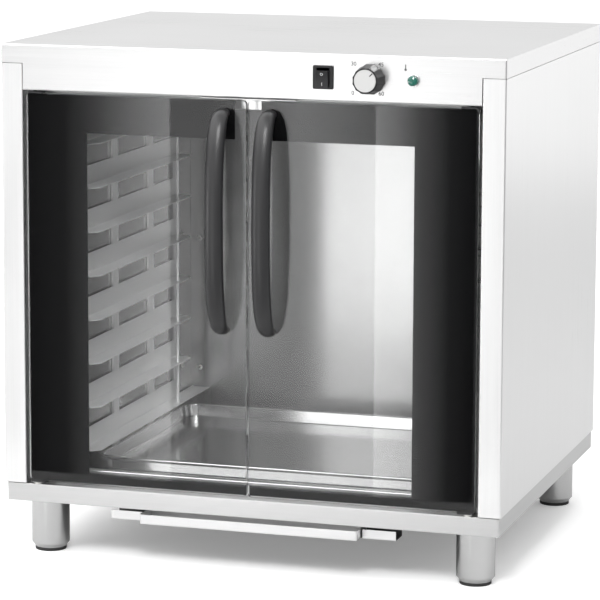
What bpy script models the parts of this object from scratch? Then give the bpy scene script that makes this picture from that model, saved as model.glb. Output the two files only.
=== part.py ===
"""Proofing cabinet: stainless case, two glass doors, two tray racks, water pan and controls.

Metres, +Z up. The origin is on the floor, at the middle of the whole object's footprint box.
The doors face -Y and +X is to the right of someone who stands before them.
"""
import math

import bmesh
import bpy
from mathutils import Matrix, Vector

# Overall sizes of the case
WIDTH = 0.800
DEPTH = 0.670
HEIGHT = 0.808
LEG_HEIGHT = 0.088

# Shared sheet and clearance sizes
SHEET = 0.0012
FOLD_RADIUS = 0.0022
GAP = 0.0003
SEAM = 0.0007
OVERRUN = 0.004
MERGE = 0.00002
ROUND_SIDES = 24
SMALL_SIDES = 12
HEAD_SIDES = 10
BEND_STEPS = 2
ROUND_SHARE = 0.5
POINT_WEIGHT = 1
SHARP_ANGLE = math.radians(35)

# Case: base tray, cover with fascia, side panels, back panel
BASE_HEIGHT = 0.0285
BASE_INSET = 0.0027
BASE_CORNER = 0.003
BASE_RIM_SIDE = 0.107
BASE_RIM_END = 0.085
COVER_SKIRT = 0.0293
COVER_CORNER = 0.0025
FASCIA_DROP = 0.0417
POST_WIDTH = 0.036
REAR_FLANGE = 0.020
VENT_COUNT = 8
VENT_WIDTH = 0.006
VENT_HEIGHT = 0.026
VENT_PITCH = 0.020
VENT_FROM_SIDE = 0.170
VENT_BELOW_TOP = 0.038
VENT_CORNER = 0.002

# Front frame round the opening
FRAME_RECESS = 0.027
FRAME_RETURN = 0.012
FRAME_LAP = 0.016
FRAME_RISE = 0.010
SILL_HEIGHT = 0.0235
HEAD_DROP = 0.021

# Cavity
CAVITY_DEPTH = 0.625
CEILING_DROP = 0.015
WALL_SHEET = 0.001
WALL_FLANGE = 0.015
SLOT_WIDTH = 0.028
SLOT_HEIGHT = 0.036
SLOT_FROM_BACK = 0.090
SLOT_CORNER = 0.003
CAVITY_SCREW_RADIUS = 0.0044
CAVITY_SCREW_HEAD = 0.0022
CAVITY_SCREW_INSET = 0.0166
CAVITY_SCREW_LOW = 0.074
CAVITY_SCREW_ROWS = 3
SIDE_SCREW_RAISE = 0.011
SIDE_SCREW_FROM_BACK = 0.045

# Tray racks
RAIL_FROM_SIDE = 0.097
TRAY_CLEARANCE = 0.003
TRAY_DEPTH = 0.400
RAIL_PITCH = 0.070
RAIL_LEDGE = 0.030
RAIL_FLANGE = 0.030
RAIL_SHEET = 0.001
RAIL_FOLD = 0.0015
RAIL_CHAMFER = 0.012
CLIP_SIDES = 4
RAIL_SETBACK = 0.082
RAIL_PAST_TRAY = 0.058
LOWEST_LEDGE = 0.0395
UPRIGHT_WIDTH = 0.024
UPRIGHT_THICKNESS = 0.003
UPRIGHT_TOP = 0.008
UPRIGHT_SHARES = (0.3297, 0.6965, 0.9651)
RACK_PLAY = 0.0006
ROD_RADIUS = 0.0025
ROD_INWARD = 0.022
ROD_RISE = 0.012

# Water pan
PAN_DEPTH = 0.446
PAN_HEIGHT = 0.022
PAN_SETBACK = 0.125
PAN_SHEET = 0.001
PAN_CORNER = 0.030
PAN_RIM = 0.008
PAN_LIP = 0.005
PAN_DRAFT = 0.003
PAN_FLOOR_BEND = 0.005
PAN_CORNER_STEPS = 6

# Doors
GLASS = 0.006
DOOR_SIDE_GAP = 0.005
DOOR_TOP_GAP = 0.004
DOOR_BOTTOM_GAP = 0.0055
DOOR_MEETING_GAP = 0.0018
GLASS_CORNER = 0.006
GLASS_EDGE = 0.0008
GLASS_CORNER_STEPS = 3
EASED_ANGLE = math.radians(60)
FILM = 0.0003
FILM_MARGIN = 0.0015
FILM_SIDE = 0.099
FILM_TOP = 0.060
FILM_BOTTOM = 0.0177
FILM_TOP_END = 0.021
FILM_BOTTOM_END = 0.0025
PIVOT_INSET = 0.012
PIVOT_RADIUS = 0.0025
PIVOT_LENGTH = 0.0055
PIVOT_PLAY = 0.0003
CLAMP_WIDTH = 0.029
CLAMP_EDGE = 0.001
CLAMP_HEIGHT = 0.028
CLAMP_THICKNESS = 0.005
CLAMP_TONGUE = 0.0018
BUSH_NECK = 0.0045
BUSH_FLANGE = 0.007
BUSH_LIP = 0.0018
STRIKE_INNER = 0.025
STRIKE_WIDTH = 0.040
STRIKE_HEIGHT = 0.010
STRIKE_THICKNESS = 0.0015
MAGNET_MARGIN = 0.0015
MAGNET_CORNER = 0.001
STRIKE_CORNER = 0.0015
CATCH_LENGTH = 0.152
CATCH_THICKNESS = 0.0012
CATCH_SETBACK = 0.002

# Door handles
HANDLE_FROM_MIDDLE = 0.037
HANDLE_TOP_BELOW = 0.013
HANDLE_LENGTH = 0.345
HANDLE_BOW = 0.048
HANDLE_THICKNESS = 0.019
HANDLE_WIDTH = 0.029
HANDLE_ROUNDNESS = 2.7
HANDLE_POINTS = 18
HANDLE_END_SHARE = 0.68
HANDLE_SIDES_STEP = 6
HANDLE_ROOT = 0.008
HANDLE_SCREW_CROWN = 0.001
HANDLE_SCREW_RADIUS = 0.0025
HANDLE_SCREW_DEPTH = 0.012
HANDLE_SCREW_HEAD = 0.005
HANDLE_SCREW_HEAD_HEIGHT = 0.003
HANDLE_HOLE = 0.0035

# Controls
CONTROL_HEIGHT = 0.0362
KNOB_FROM_SIDE = 0.2075
KNOB_BASE_RADIUS = 0.0235
KNOB_FRONT_RADIUS = 0.0208
KNOB_LENGTH = 0.030
KNOB_FACETS = 12
KNOB_FACET_ROUND = 0.0015
KNOB_FACET_ANGLE = math.radians(20)
KNOB_STANDOFF = 0.0008
KNOB_DISC_RADIUS = 0.018
KNOB_DISC_THICKNESS = 0.0012
KNOB_POINTER_LENGTH = 0.005
KNOB_POINTER_WIDTH = 0.0012
KNOB_POINTER_ANGLE = math.radians(45)
KNOB_BORE_DEPTH = 0.022
SHAFT_RADIUS = 0.003
SHAFT_HOLE = 0.005
THERMOSTAT_SIZE = 0.044
THERMOSTAT_DEPTH = 0.030
THERMOSTAT_CORNER = 0.003
SHAFT_SEAT = 0.008
BULB_RADIUS = 0.0035
BULB_LENGTH = 0.080
CAPILLARY_RADIUS = 0.0011
BULB_FROM_SIDE = 0.170
BULB_BELOW_CEILING = 0.0065
BULB_SETBACK = 0.190
CAPILLARY_HOLE = 0.004
CAPILLARY_BEND = 0.006
CLIP_WIDTH = 0.010
CLIP_SHEET = 0.0008
SWITCH_FROM_SIDE = 0.2805
SWITCH_RAISE = 0.0006
SWITCH_WIDTH = 0.032
SWITCH_HEIGHT = 0.0355
SWITCH_BEZEL = 0.0025
SWITCH_CORNER = 0.0022
SWITCH_BODY_WIDTH = 0.027
SWITCH_BODY_HEIGHT = 0.0315
SWITCH_BODY_DEPTH = 0.024
SWITCH_TERMINAL = 0.0008
SWITCH_TERMINAL_HEIGHT = 0.006
SWITCH_TERMINAL_LENGTH = 0.008
ROCKER_WIDTH = 0.0188
ROCKER_HEIGHT = 0.026
ROCKER_PLAY = 0.0005
ROCKER_TILT_ROOM = 0.0016
ROCKER_PIVOT_DEPTH = 0.0075
ROCKER_REACH = 0.0155
ROCKER_DIP = 0.0022
ROCKER_BACK = 0.006
ROCKER_TAPER = 0.004
ROCKER_FLOOR = 0.004
ROCKER_TILT = math.radians(9)
LAMP_FROM_SIDE = 0.141
LAMP_BEZEL_RADIUS = 0.0095
LAMP_BEZEL_HEIGHT = 0.0016
LAMP_NECK = 0.0055
LAMP_BODY_LENGTH = 0.024
LAMP_LENS_RADIUS = 0.0078
LAMP_LENS_HEIGHT = 0.009
LAMP_DOME = 0.003
LAMP_DOME_STEPS = 3

# Electrical parts inside the case
ELEMENT_RADIUS = 0.004
ELEMENT_FROM_SIDE = 0.200
ELEMENT_HALF_DEPTH = 0.100
ELEMENT_BEND_POINTS = 6
ELEMENT_RUNS = 4
SUPPORT_HEIGHT = 0.006
SUPPORT_WIDTH = 0.014
TERMINAL_LENGTH = 0.072
TERMINAL_DEPTH = 0.022
TERMINAL_HEIGHT = 0.017
TERMINAL_WAYS = 6
TERMINAL_SCREW = 0.002
TERMINAL_NOTCH = 0.0015
TERMINAL_NOTCH_DEPTH = 0.004
TERMINAL_SCREW_DEPTH = 0.008
TERMINAL_SCREW_SIDES = 8
TERMINAL_FROM_SIDE = 0.140
TERMINAL_FROM_BACK = 0.060
GLAND_FROM_SIDE = 0.070
GLAND_BELOW_TOP = 0.028
GLAND_NECK = 0.008
GLAND_HEX = 0.013
GLAND_HEX_LENGTH = 0.006
GLAND_REACH = 0.020
GLAND_DOME = 0.010
GLAND_CROWN = 0.003
GLAND_BORE = 0.0045
GLAND_INSIDE = 0.012
NUT_SIDES = 6

# Legs and levelling feet
LEG_RADIUS = 0.030
LEG_WALL = 0.0015
LEG_FROM_SIDE = 0.0525
LEG_FROM_END = 0.0605
LEG_STUD_RADIUS = 0.005
LEG_STUD_LENGTH = 0.012
LEG_PLATE = 0.003
LEG_PLUG = 0.020
LEG_TAPER = 0.006
LEG_END_RADIUS = 0.025
LEG_END_RING = 0.0012
FOOT_HEIGHT = 0.0048
FOOT_RADIUS = 0.0247
FOOT_EDGE = 0.0010
FOOT_STEM_RADIUS = 0.005
FOOT_STEM_LENGTH = 0.050

# Drip tray under the door sill
DRIP_WIDTH = 0.352
DRIP_DEPTH = 0.056
DRIP_HEIGHT = 0.0152
DRIP_SHEET = 0.001
DRIP_SETBACK = 0.0005
DRIP_SIDE_PLAY = 0.002
HOLDER_WIDTH = 0.462
HOLDER_SETBACK = 0.024
HOLDER_DEPTH = 0.035
HOLDER_DROP = 0.0225
HOLDER_WALL = 0.0135
HOLDER_FLANGE = 0.016

# Case screws on the back and under the drip holder
CASE_SCREW_RADIUS = 0.0042
CASE_SCREW_HEAD = 0.0022
CASE_SCREW_ROWS = 4
CASE_SCREW_INSET = 0.010
CASE_SCREW_END = 0.020
HEAD_CROWN = 0.0006

# Places worked out from the sizes above
HANDLE_REACH = HANDLE_BOW + HANDLE_THICKNESS / 2 + GAP
FRONT = HANDLE_REACH - (DEPTH + HANDLE_REACH + GLAND_REACH) / 2
BACK = FRONT + DEPTH
SIDE = WIDTH / 2
BASE_BOTTOM = LEG_HEIGHT
BASE_TOP = BASE_BOTTOM + BASE_HEIGHT
SKIRT_BOTTOM = HEIGHT - COVER_SKIRT
FASCIA_BOTTOM = SKIRT_BOTTOM - FASCIA_DROP
POST_INNER = SIDE - POST_WIDTH
FRAME_FACE = FRONT + FRAME_RECESS
FRAME_BACK = FRAME_FACE + FRAME_RETURN
SILL_TOP = BASE_TOP + SILL_HEIGHT
HEAD_BOTTOM = FASCIA_BOTTOM - HEAD_DROP
FLOOR_TOP = BASE_TOP + GAP + SHEET
CEILING = FASCIA_BOTTOM - CEILING_DROP
CAVITY_BACK = FRONT + CAVITY_DEPTH
CAVITY_SCREW_PITCH = (CEILING - FLOOR_TOP - CAVITY_SCREW_LOW * 2) / (CAVITY_SCREW_ROWS - 1)
RAIL_COUNT = int((CEILING - FLOOR_TOP - LOWEST_LEDGE - RAIL_FLANGE) / RAIL_PITCH) + 1
RAIL_FACE = SIDE - RAIL_FROM_SIDE
TRAY_WIDTH = (RAIL_FACE - TRAY_CLEARANCE) * 2
UPRIGHT_OUTER = RAIL_FACE + RAIL_SHEET + UPRIGHT_THICKNESS
CAVITY_SIDE = UPRIGHT_OUTER + RACK_PLAY
RAIL_FRONT = FRONT + RAIL_SETBACK
RAIL_LENGTH = TRAY_DEPTH + RAIL_PAST_TRAY
RAIL_BACK = RAIL_FRONT + RAIL_LENGTH
ROD_X = RAIL_FACE - ROD_INWARD
ROD_Y = RAIL_FRONT + TRAY_DEPTH
GLASS_BACK = FRONT + GLASS
FILM_BACK = GLASS_BACK + GAP + FILM
DOOR_TOP = FASCIA_BOTTOM - DOOR_TOP_GAP
DOOR_BOTTOM = BASE_TOP + DOOR_BOTTOM_GAP
DOOR_OUTER = POST_INNER - DOOR_SIDE_GAP
DOOR_INNER = DOOR_MEETING_GAP / 2
PIVOT_X = DOOR_OUTER - PIVOT_INSET
PIVOT_Y = FILM_BACK + GAP + CLAMP_THICKNESS / 2
HANDLE_Z = DOOR_TOP - HANDLE_TOP_BELOW - HANDLE_LENGTH / 2
HANDLE_FOOT_OFFSET = (HANDLE_LENGTH - HANDLE_THICKNESS * HANDLE_END_SHARE) / 2
HANDLE_FEET = (HANDLE_Z - HANDLE_FOOT_OFFSET, HANDLE_Z + HANDLE_FOOT_OFFSET)
CONTROL_Z = HEIGHT - CONTROL_HEIGHT
KNOB_X = SIDE - KNOB_FROM_SIDE
SWITCH_X = SIDE - SWITCH_FROM_SIDE
LAMP_X = SIDE - LAMP_FROM_SIDE
BULB_X = SIDE - BULB_FROM_SIDE
TERMINAL_X = TERMINAL_FROM_SIDE - SIDE
GLAND_X = GLAND_FROM_SIDE - SIDE
ELEMENT_HALF_WIDTH = SIDE - ELEMENT_FROM_SIDE
SWITCH_Z = CONTROL_Z + SWITCH_RAISE
PAN_FRONT = FRONT + PAN_SETBACK
HOLDER_FRONT = FRONT + HOLDER_SETBACK
HOLDER_BOTTOM = BASE_BOTTOM - HOLDER_DROP
CAPILLARY_Y = FRONT + BULB_SETBACK - CLIP_WIDTH
LEG_X = SIDE - LEG_FROM_SIDE
LEG_FRONT_Y = FRONT + LEG_FROM_END
LEG_BACK_Y = BACK - LEG_FROM_END
CORNERS = {
    "front_left": (-LEG_X, LEG_FRONT_Y),
    "front_right": (LEG_X, LEG_FRONT_Y),
    "rear_left": (-LEG_X, LEG_BACK_Y),
    "rear_right": (LEG_X, LEG_BACK_Y),
}

SIDES = {"left": -1, "right": 1}

# Finishes: colour, roughness, metallic
FINISHES = {
    "case_steel": ((0.80, 0.80, 0.79), 0.32, 1.0),
    "cavity_steel": ((0.62, 0.62, 0.62), 0.24, 1.0),
    "rack_steel": ((0.66, 0.66, 0.66), 0.28, 1.0),
    "leg_steel": ((0.72, 0.72, 0.71), 0.26, 1.0),
    "screw_steel": ((0.58, 0.58, 0.58), 0.35, 1.0),
    "chrome": ((0.85, 0.85, 0.86), 0.10, 1.0),
    "silver_disc": ((0.83, 0.83, 0.82), 0.30, 0.9),
    "glass": ((0.85, 0.88, 0.87), 0.03, 0.0),
    "black_film": ((0.012, 0.012, 0.013), 0.25, 0.0),
    "black_plastic": ((0.025, 0.025, 0.027), 0.42, 0.0),
    "black_metal": ((0.03, 0.03, 0.03), 0.40, 0.6),
    "black_rubber": ((0.02, 0.02, 0.02), 0.80, 0.0),
    "green_lens": ((0.02, 0.35, 0.22), 0.15, 0.0),
    "white_ceramic": ((0.85, 0.84, 0.80), 0.45, 0.0),
    "copper": ((0.72, 0.42, 0.28), 0.30, 1.0),
    "nylon": ((0.75, 0.75, 0.72), 0.50, 0.0),
}

AXES = "XYZ"


def clear_scene():
    """Remove the objects that a new file starts with."""
    for thing in list(bpy.data.objects):
        bpy.data.objects.remove(thing, do_unlink=True)


def new_collection(name):
    """A collection of that name under the scene's own."""
    made = bpy.data.collections.new(name)
    bpy.context.scene.collection.children.link(made)
    return made


def make_material(name):
    """Principled material from the table of finishes."""
    colour, roughness, metallic = FINISHES[name]
    material = bpy.data.materials.new(name)
    material.use_nodes = True
    shader = material.node_tree.nodes["Principled BSDF"]
    shader.inputs["Base Color"].default_value = (*colour, 1)
    shader.inputs["Roughness"].default_value = roughness
    shader.inputs["Metallic"].default_value = metallic
    return material


def link(piece, finish):
    """Put a piece with the parts, or with the cutters where it has no finish."""
    if finish is None:
        CUTTERS.objects.link(piece)
        piece.hide_render = True
        piece.display_type = "WIRE"
        return piece
    PARTS.objects.link(piece)
    piece.data.materials.clear()
    piece.data.materials.append(MATERIALS[finish])
    return piece


def from_bmesh(name, bm, finish):
    """Object from a bmesh, which is freed."""
    mesh = bpy.data.meshes.new(name)
    bm.to_mesh(mesh)
    bm.free()
    mesh.shade_smooth()
    mesh.set_sharp_from_angle(angle=SHARP_ANGLE)
    return link(bpy.data.objects.new(name, mesh), finish)


def runs_along(edge, axes):
    """True where an edge lies along one of the named axes."""
    span = edge.verts[1].co - edge.verts[0].co
    return any(abs(span[AXES.index(axis)]) > span.length - MERGE for axis in axes)


def box(name, low, high, finish=None, rounding=0, axes="", steps=BEND_STEPS, foot_sharp=False):
    """Box between two corners, with the edges along the named axes rounded."""
    bm = bmesh.new()
    bmesh.ops.create_cube(bm, size=1)
    low, high = Vector(low), Vector(high)
    stretch = Matrix.Diagonal((*(high - low), 1))
    bmesh.ops.transform(bm, matrix=Matrix.Translation((low + high) / 2) @ stretch, verts=bm.verts)
    if rounding:
        edges = [edge for edge in bm.edges if runs_along(edge, axes)]
        if foot_sharp:
            edges = [edge for edge in edges if max(vert.co.z for vert in edge.verts) > low.z + MERGE]
        bmesh.ops.bevel(bm, geom=edges, offset=rounding, segments=steps, profile=ROUND_SHARE, affect="EDGES")
    return from_bmesh(name, bm, finish)


def rod(name, start, end, radius, finish=None, sides=SMALL_SIDES, end_radius=None, turn=0):
    """Round or many-sided bar, straight or tapered, from start to end."""
    start, end = Vector(start), Vector(end)
    bm = bmesh.new()
    last = radius if end_radius is None else end_radius
    length = (end - start).length
    bmesh.ops.create_cone(bm, cap_ends=True, segments=sides, radius1=radius, radius2=last, depth=length)
    aim = Vector((0, 0, 1)).rotation_difference(end - start).to_matrix().to_4x4()
    spin = Matrix.Rotation(turn, 4, "Z")
    bmesh.ops.transform(bm, matrix=Matrix.Translation((start + end) / 2) @ aim @ spin, verts=bm.verts)
    return from_bmesh(name, bm, finish)


def turned(name, profile, finish, centre, toward=(0, 0, 1), sides=ROUND_SIDES, ring=False):
    """Turned piece: (radius, height) points down the outer side, spun about its axis."""
    bm = bmesh.new()
    verts = [bm.verts.new((radius, 0, height)) for radius, height in profile]
    for first, second in zip(verts, verts[1:]):
        bm.edges.new((first, second))
    if ring:
        bm.edges.new((verts[-1], verts[0]))
    piece = from_bmesh(name, bm, finish)
    spin = piece.modifiers.new("turn", "SCREW")
    spin.steps = sides
    spin.render_steps = sides
    spin.use_merge_vertices = True
    spin.merge_threshold = MERGE
    piece.rotation_mode = "QUATERNION"
    piece.rotation_quaternion = Vector((0, 0, 1)).rotation_difference(Vector(toward))
    piece.location = centre
    return piece


def solidify(piece, thickness, offset):
    """Give an open surface its wall: offset 1 along its normals, -1 against them, 0 both ways."""
    wall = piece.modifiers.new("wall", "SOLIDIFY")
    wall.thickness = thickness
    wall.offset = offset
    wall.use_even_offset = True
    wall.use_quality_normals = True


def folded(name, outline, axis, start, end, thickness, finish, radius=FOLD_RADIUS):
    """Sheet folded along an outline and run along an axis, its wall on the right of the outline."""
    first, second, along = {"Z": (0, 1, 2), "Y": (0, 2, 1), "X": (1, 2, 0)}[axis]

    def place(u, v, run):
        point = [0, 0, 0]
        point[first], point[second], point[along] = u, v, run
        return Vector(point)

    bm = bmesh.new()
    verts = [bm.verts.new(place(u, v, start)) for u, v in outline]
    edges = [bm.edges.new(pair) for pair in zip(verts, verts[1:])]
    drawn = bmesh.ops.extrude_edge_only(bm, edges=edges)["geom"]
    moved = [item for item in drawn if isinstance(item, bmesh.types.BMVert)]
    bmesh.ops.translate(bm, vec=place(0, 0, end - start), verts=moved)
    bm.normal_update()
    run = place(*outline[1], 0) - place(*outline[0], 0)
    right = place(run[second], -run[first], 0)
    first_wall = edges[0].link_faces[0]
    offset = 1 if first_wall.normal.dot(right) > 0 else -1
    if radius:
        folds = [edge for edge in bm.edges if len(edge.link_faces) > 1]
        bmesh.ops.bevel(bm, geom=folds, offset=radius, segments=BEND_STEPS, profile=ROUND_SHARE,
                        affect="EDGES")
    piece = from_bmesh(name, bm, finish)
    solidify(piece, thickness, offset)
    return piece


def shell(name, loops, thickness, finish, cap=False):
    """Shell whose middle surface joins the loops in turn, closed at the last one if capped."""
    bm = bmesh.new()
    rings = [[bm.verts.new(point) for point in loop] for loop in loops]
    for near, far in zip(rings, rings[1:]):
        for index in range(len(near)):
            bm.faces.new((near[index - 1], near[index], far[index], far[index - 1]))
    if cap:
        bm.faces.new(rings[-1])
    bmesh.ops.recalc_face_normals(bm, faces=bm.faces)
    piece = from_bmesh(name, bm, finish)
    solidify(piece, thickness, 0)
    return piece


def rounded_rectangle(half_x, half_y, radius, steps):
    """Points of a rounded rectangle about the origin, anticlockwise."""
    points = []
    for quarter in range(4):
        start = quarter * math.pi / 2
        sign_x = 1 if quarter in (0, 3) else -1
        sign_y = 1 if quarter in (0, 1) else -1
        centre = (sign_x * (half_x - radius), sign_y * (half_y - radius))
        for step in range(steps + 1):
            angle = start + step * math.pi / 2 / steps
            points.append((centre[0] + radius * math.cos(angle), centre[1] + radius * math.sin(angle)))
    return points


def rectangle(low_x, high_x, low_z, high_z, y):
    """Corners of an upright rectangle at one depth."""
    return [(low_x, y, low_z), (high_x, y, low_z), (high_x, y, high_z), (low_x, y, high_z)]


def tube(name, points, radius, finish, shares=None, roundness=2):
    """Curve through the points with a round section and closed ends."""
    curve = bpy.data.curves.new(name, "CURVE")
    curve.dimensions = "3D"
    curve.bevel_depth = radius
    curve.bevel_resolution = roundness
    curve.use_fill_caps = True
    spline = curve.splines.new("POLY")
    spline.points.add(len(points) - 1)
    for index, point in enumerate(points):
        spline.points[index].co = (*point, POINT_WEIGHT)
        spline.points[index].radius = 1 if shares is None else shares[index]
    return link(bpy.data.objects.new(name, curve), finish)


def plate(name, loops, thickness, finish, centre, turn):
    """Flat plate of the thickness inside the first loop and outside the others."""
    curve = bpy.data.curves.new(name, "CURVE")
    curve.dimensions = "2D"
    curve.fill_mode = "BOTH"
    curve.extrude = thickness / 2
    for loop in loops:
        spline = curve.splines.new("POLY")
        spline.points.add(len(loop) - 1)
        spline.use_cyclic_u = True
        for index, (across, up) in enumerate(loop):
            spline.points[index].co = (across, up, 0, POINT_WEIGHT)
    made = bpy.data.objects.new(name, curve)
    made.rotation_euler = turn
    made.location = centre
    return meshed(link(made, finish), finish)


def evaluated_mesh(piece, name):
    """Mesh of a piece as its modifiers leave it, in world space."""
    bpy.context.view_layer.update()
    graph = bpy.context.evaluated_depsgraph_get()
    mesh = bpy.data.meshes.new_from_object(piece.evaluated_get(graph))
    mesh.name = name
    mesh.transform(piece.matrix_world)
    return mesh


def meshed(piece, finish, stretch=None):
    """A curve made a mesh with its caps welded, so that it can be cut."""
    name = piece.name
    mesh = evaluated_mesh(piece, name)
    bpy.data.objects.remove(piece, do_unlink=True)
    if stretch is not None:
        mesh.transform(stretch)
    bm = bmesh.new()
    bm.from_mesh(mesh)
    bmesh.ops.remove_doubles(bm, verts=bm.verts, dist=MERGE)
    bm.to_mesh(mesh)
    bm.free()
    mesh.materials.clear()
    return link(bpy.data.objects.new(name, mesh), finish)


def mirrored(source, finish):
    """The right-hand piece of a left-hand one."""
    name = source.name.replace("left", "right")
    mesh = evaluated_mesh(source, name)
    mesh.transform(Matrix.Diagonal((-1, 1, 1, 1)))
    mesh.flip_normals()
    return link(bpy.data.objects.new(name, mesh), finish)


def merged(name, pieces, finish):
    """One object of several pieces as they stand; the pieces go."""
    bm = bmesh.new()
    for piece in pieces:
        mesh = evaluated_mesh(piece, name)
        bm.from_mesh(mesh)
        bpy.data.meshes.remove(mesh)
        bpy.data.objects.remove(piece, do_unlink=True)
    return from_bmesh(name, bm, finish)


def boolean(piece, tool, operation):
    """Boolean of a piece with a tool from the cutters."""
    step = piece.modifiers.new(tool.name, "BOOLEAN")
    step.operation = operation
    step.object = tool
    step.solver = "EXACT"


def cut(piece, *tools):
    """Cut tools out of a piece."""
    for tool in tools:
        boolean(piece, tool, "DIFFERENCE")


def hang(name, point, pieces):
    """Parent the pieces of one moving body to an empty on its joint's axis."""
    empty = bpy.data.objects.new(name, None)
    empty.location = point
    PARTS.objects.link(empty)
    bpy.context.view_layer.update()
    for piece in pieces:
        piece.parent = empty
        piece.matrix_parent_inverse = empty.matrix_world.inverted()


def screw_heads(name, radius, height, places):
    """Crowned heads to be joined to a sheet, each sunk into it: (centre on the sheet, way it faces)."""
    sunk = -SHEET / 2
    profile = [(0, height), (radius - HEAD_CROWN * 2, height), (radius, height - HEAD_CROWN), (radius, sunk),
               (0, sunk)]
    heads = [turned("head", profile, None, centre, toward, HEAD_SIDES) for centre, toward in places]
    return merged(name, heads, None)


def make_base():
    """Base tray with a wide top rim, open in the middle under the cavity floor."""
    outer_x, low_y, high_y = SIDE - BASE_INSET, FRONT + BASE_INSET, BACK - BASE_INSET
    base = box("base_frame", (-outer_x, low_y, BASE_BOTTOM), (outer_x, high_y, BASE_TOP), "case_steel",
               BASE_CORNER, "Z")
    hollow = box("base_hollow", (SHEET - outer_x, low_y + SHEET, BASE_BOTTOM + SHEET),
                 (outer_x - SHEET, high_y - SHEET, BASE_TOP - SHEET))
    window_x = outer_x - BASE_RIM_SIDE
    window = box("base_window", (-window_x, low_y + BASE_RIM_END, BASE_TOP - SHEET - OVERRUN),
                 (window_x, high_y - BASE_RIM_END, BASE_TOP + OVERRUN))
    cut(base, hollow, window)
    for sign in (-1, 1):
        pivot = rod("base_pivot_hole", (sign * PIVOT_X, PIVOT_Y, BASE_TOP - SHEET - OVERRUN),
                    (sign * PIVOT_X, PIVOT_Y, BASE_TOP + OVERRUN), BUSH_NECK + GAP)
        cut(base, pivot)
    for x, y in CORNERS.values():
        stud = rod("base_stud_hole", (x, y, BASE_BOTTOM - OVERRUN), (x, y, BASE_BOTTOM + SHEET + OVERRUN),
                   LEG_STUD_RADIUS + GAP)
        cut(base, stud)


def make_cover():
    """Top cover whose front skirt runs down into the control fascia between the posts."""
    cover = box("top_cover", (-SIDE, FRONT, SKIRT_BOTTOM), (SIDE, BACK, HEIGHT), "case_steel", COVER_CORNER,
                "XYZ", BEND_STEPS, True)
    fascia_x = POST_INNER - SEAM
    fascia = box("cover_fascia", (-fascia_x, FRONT, FASCIA_BOTTOM),
                 (fascia_x, FRAME_FACE - GAP, SKIRT_BOTTOM + OVERRUN))
    boolean(cover, fascia, "UNION")
    cover_hollow = box("cover_hollow", (SHEET - SIDE, FRONT + SHEET, SKIRT_BOTTOM - OVERRUN),
                       (SIDE - SHEET, BACK - SHEET, HEIGHT - SHEET))
    fascia_hollow = box("fascia_hollow", (-fascia_x - OVERRUN, FRONT + SHEET, FASCIA_BOTTOM + SHEET),
                        (fascia_x + OVERRUN, FRAME_FACE + OVERRUN, SKIRT_BOTTOM + OVERRUN))
    near, far = FRONT - OVERRUN, FRONT + SHEET + OVERRUN
    shaft = rod("fascia_shaft_hole", (KNOB_X, near, CONTROL_Z), (KNOB_X, far, CONTROL_Z), SHAFT_HOLE)
    lamp = rod("fascia_lamp_hole", (LAMP_X, near, CONTROL_Z), (LAMP_X, far, CONTROL_Z), LAMP_NECK + GAP)
    half_x, half_z = SWITCH_BODY_WIDTH / 2 + GAP, SWITCH_BODY_HEIGHT / 2 + GAP
    switch = box("fascia_switch_hole", (SWITCH_X - half_x, near, SWITCH_Z - half_z),
                 (SWITCH_X + half_x, far, SWITCH_Z + half_z))
    cut(cover, cover_hollow, fascia_hollow, shaft, lamp, switch)
    for sign in (-1, 1):
        pivot = rod("fascia_pivot_hole", (sign * PIVOT_X, PIVOT_Y, FASCIA_BOTTOM - OVERRUN),
                    (sign * PIVOT_X, PIVOT_Y, FASCIA_BOTTOM + SHEET + OVERRUN), BUSH_NECK + GAP)
        cut(cover, pivot)


def make_side_panels():
    """Side panels, each folded round the front into a post and in again at the back."""
    rear = BACK - SHEET - GAP
    outline = [(-POST_INNER, FRAME_FACE - GAP), (-POST_INNER, FRONT), (-SIDE, FRONT), (-SIDE, rear),
               (REAR_FLANGE - SIDE, rear)]
    left = folded("left_side_panel", outline, "Z", BASE_TOP + SEAM, SKIRT_BOTTOM - SEAM, SHEET, "case_steel")
    mirrored(left, "case_steel")


def make_back_panel():
    """Flat back panel with vent slots by the controls, a hole for the cable gland and its screw heads."""
    half = SIDE - SEAM
    low, high = BASE_TOP + SEAM, SKIRT_BOTTOM - SEAM
    panel = box("back_panel", (-half, BACK - SHEET, low), (half, BACK, high), "case_steel")
    near, far = BACK - SHEET - OVERRUN, BACK + OVERRUN
    top = SKIRT_BOTTOM - VENT_BELOW_TOP
    slots = []
    for index in range(VENT_COUNT):
        x = SIDE - VENT_FROM_SIDE - index * VENT_PITCH
        slots.append(box("vent", (x, near, top - VENT_HEIGHT), (x + VENT_WIDTH, far, top), None,
                         VENT_CORNER, "Y"))
    gland_z = SKIRT_BOTTOM - GLAND_BELOW_TOP
    hole = rod("gland_hole", (GLAND_X, near, gland_z), (GLAND_X, far, gland_z), GLAND_NECK + GAP)
    cut(panel, merged("vent_slots", slots, None), hole)
    places = []
    span = high - low - CASE_SCREW_END * 2
    for sign in (-1, 1):
        for row in range(CASE_SCREW_ROWS):
            z = low + CASE_SCREW_END + span * row / (CASE_SCREW_ROWS - 1)
            places.append(((sign * (half - CASE_SCREW_INSET), BACK, z), (0, 1, 0)))
    boolean(panel, screw_heads("panel_screws", CASE_SCREW_RADIUS, CASE_SCREW_HEAD, places), "UNION")


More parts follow.
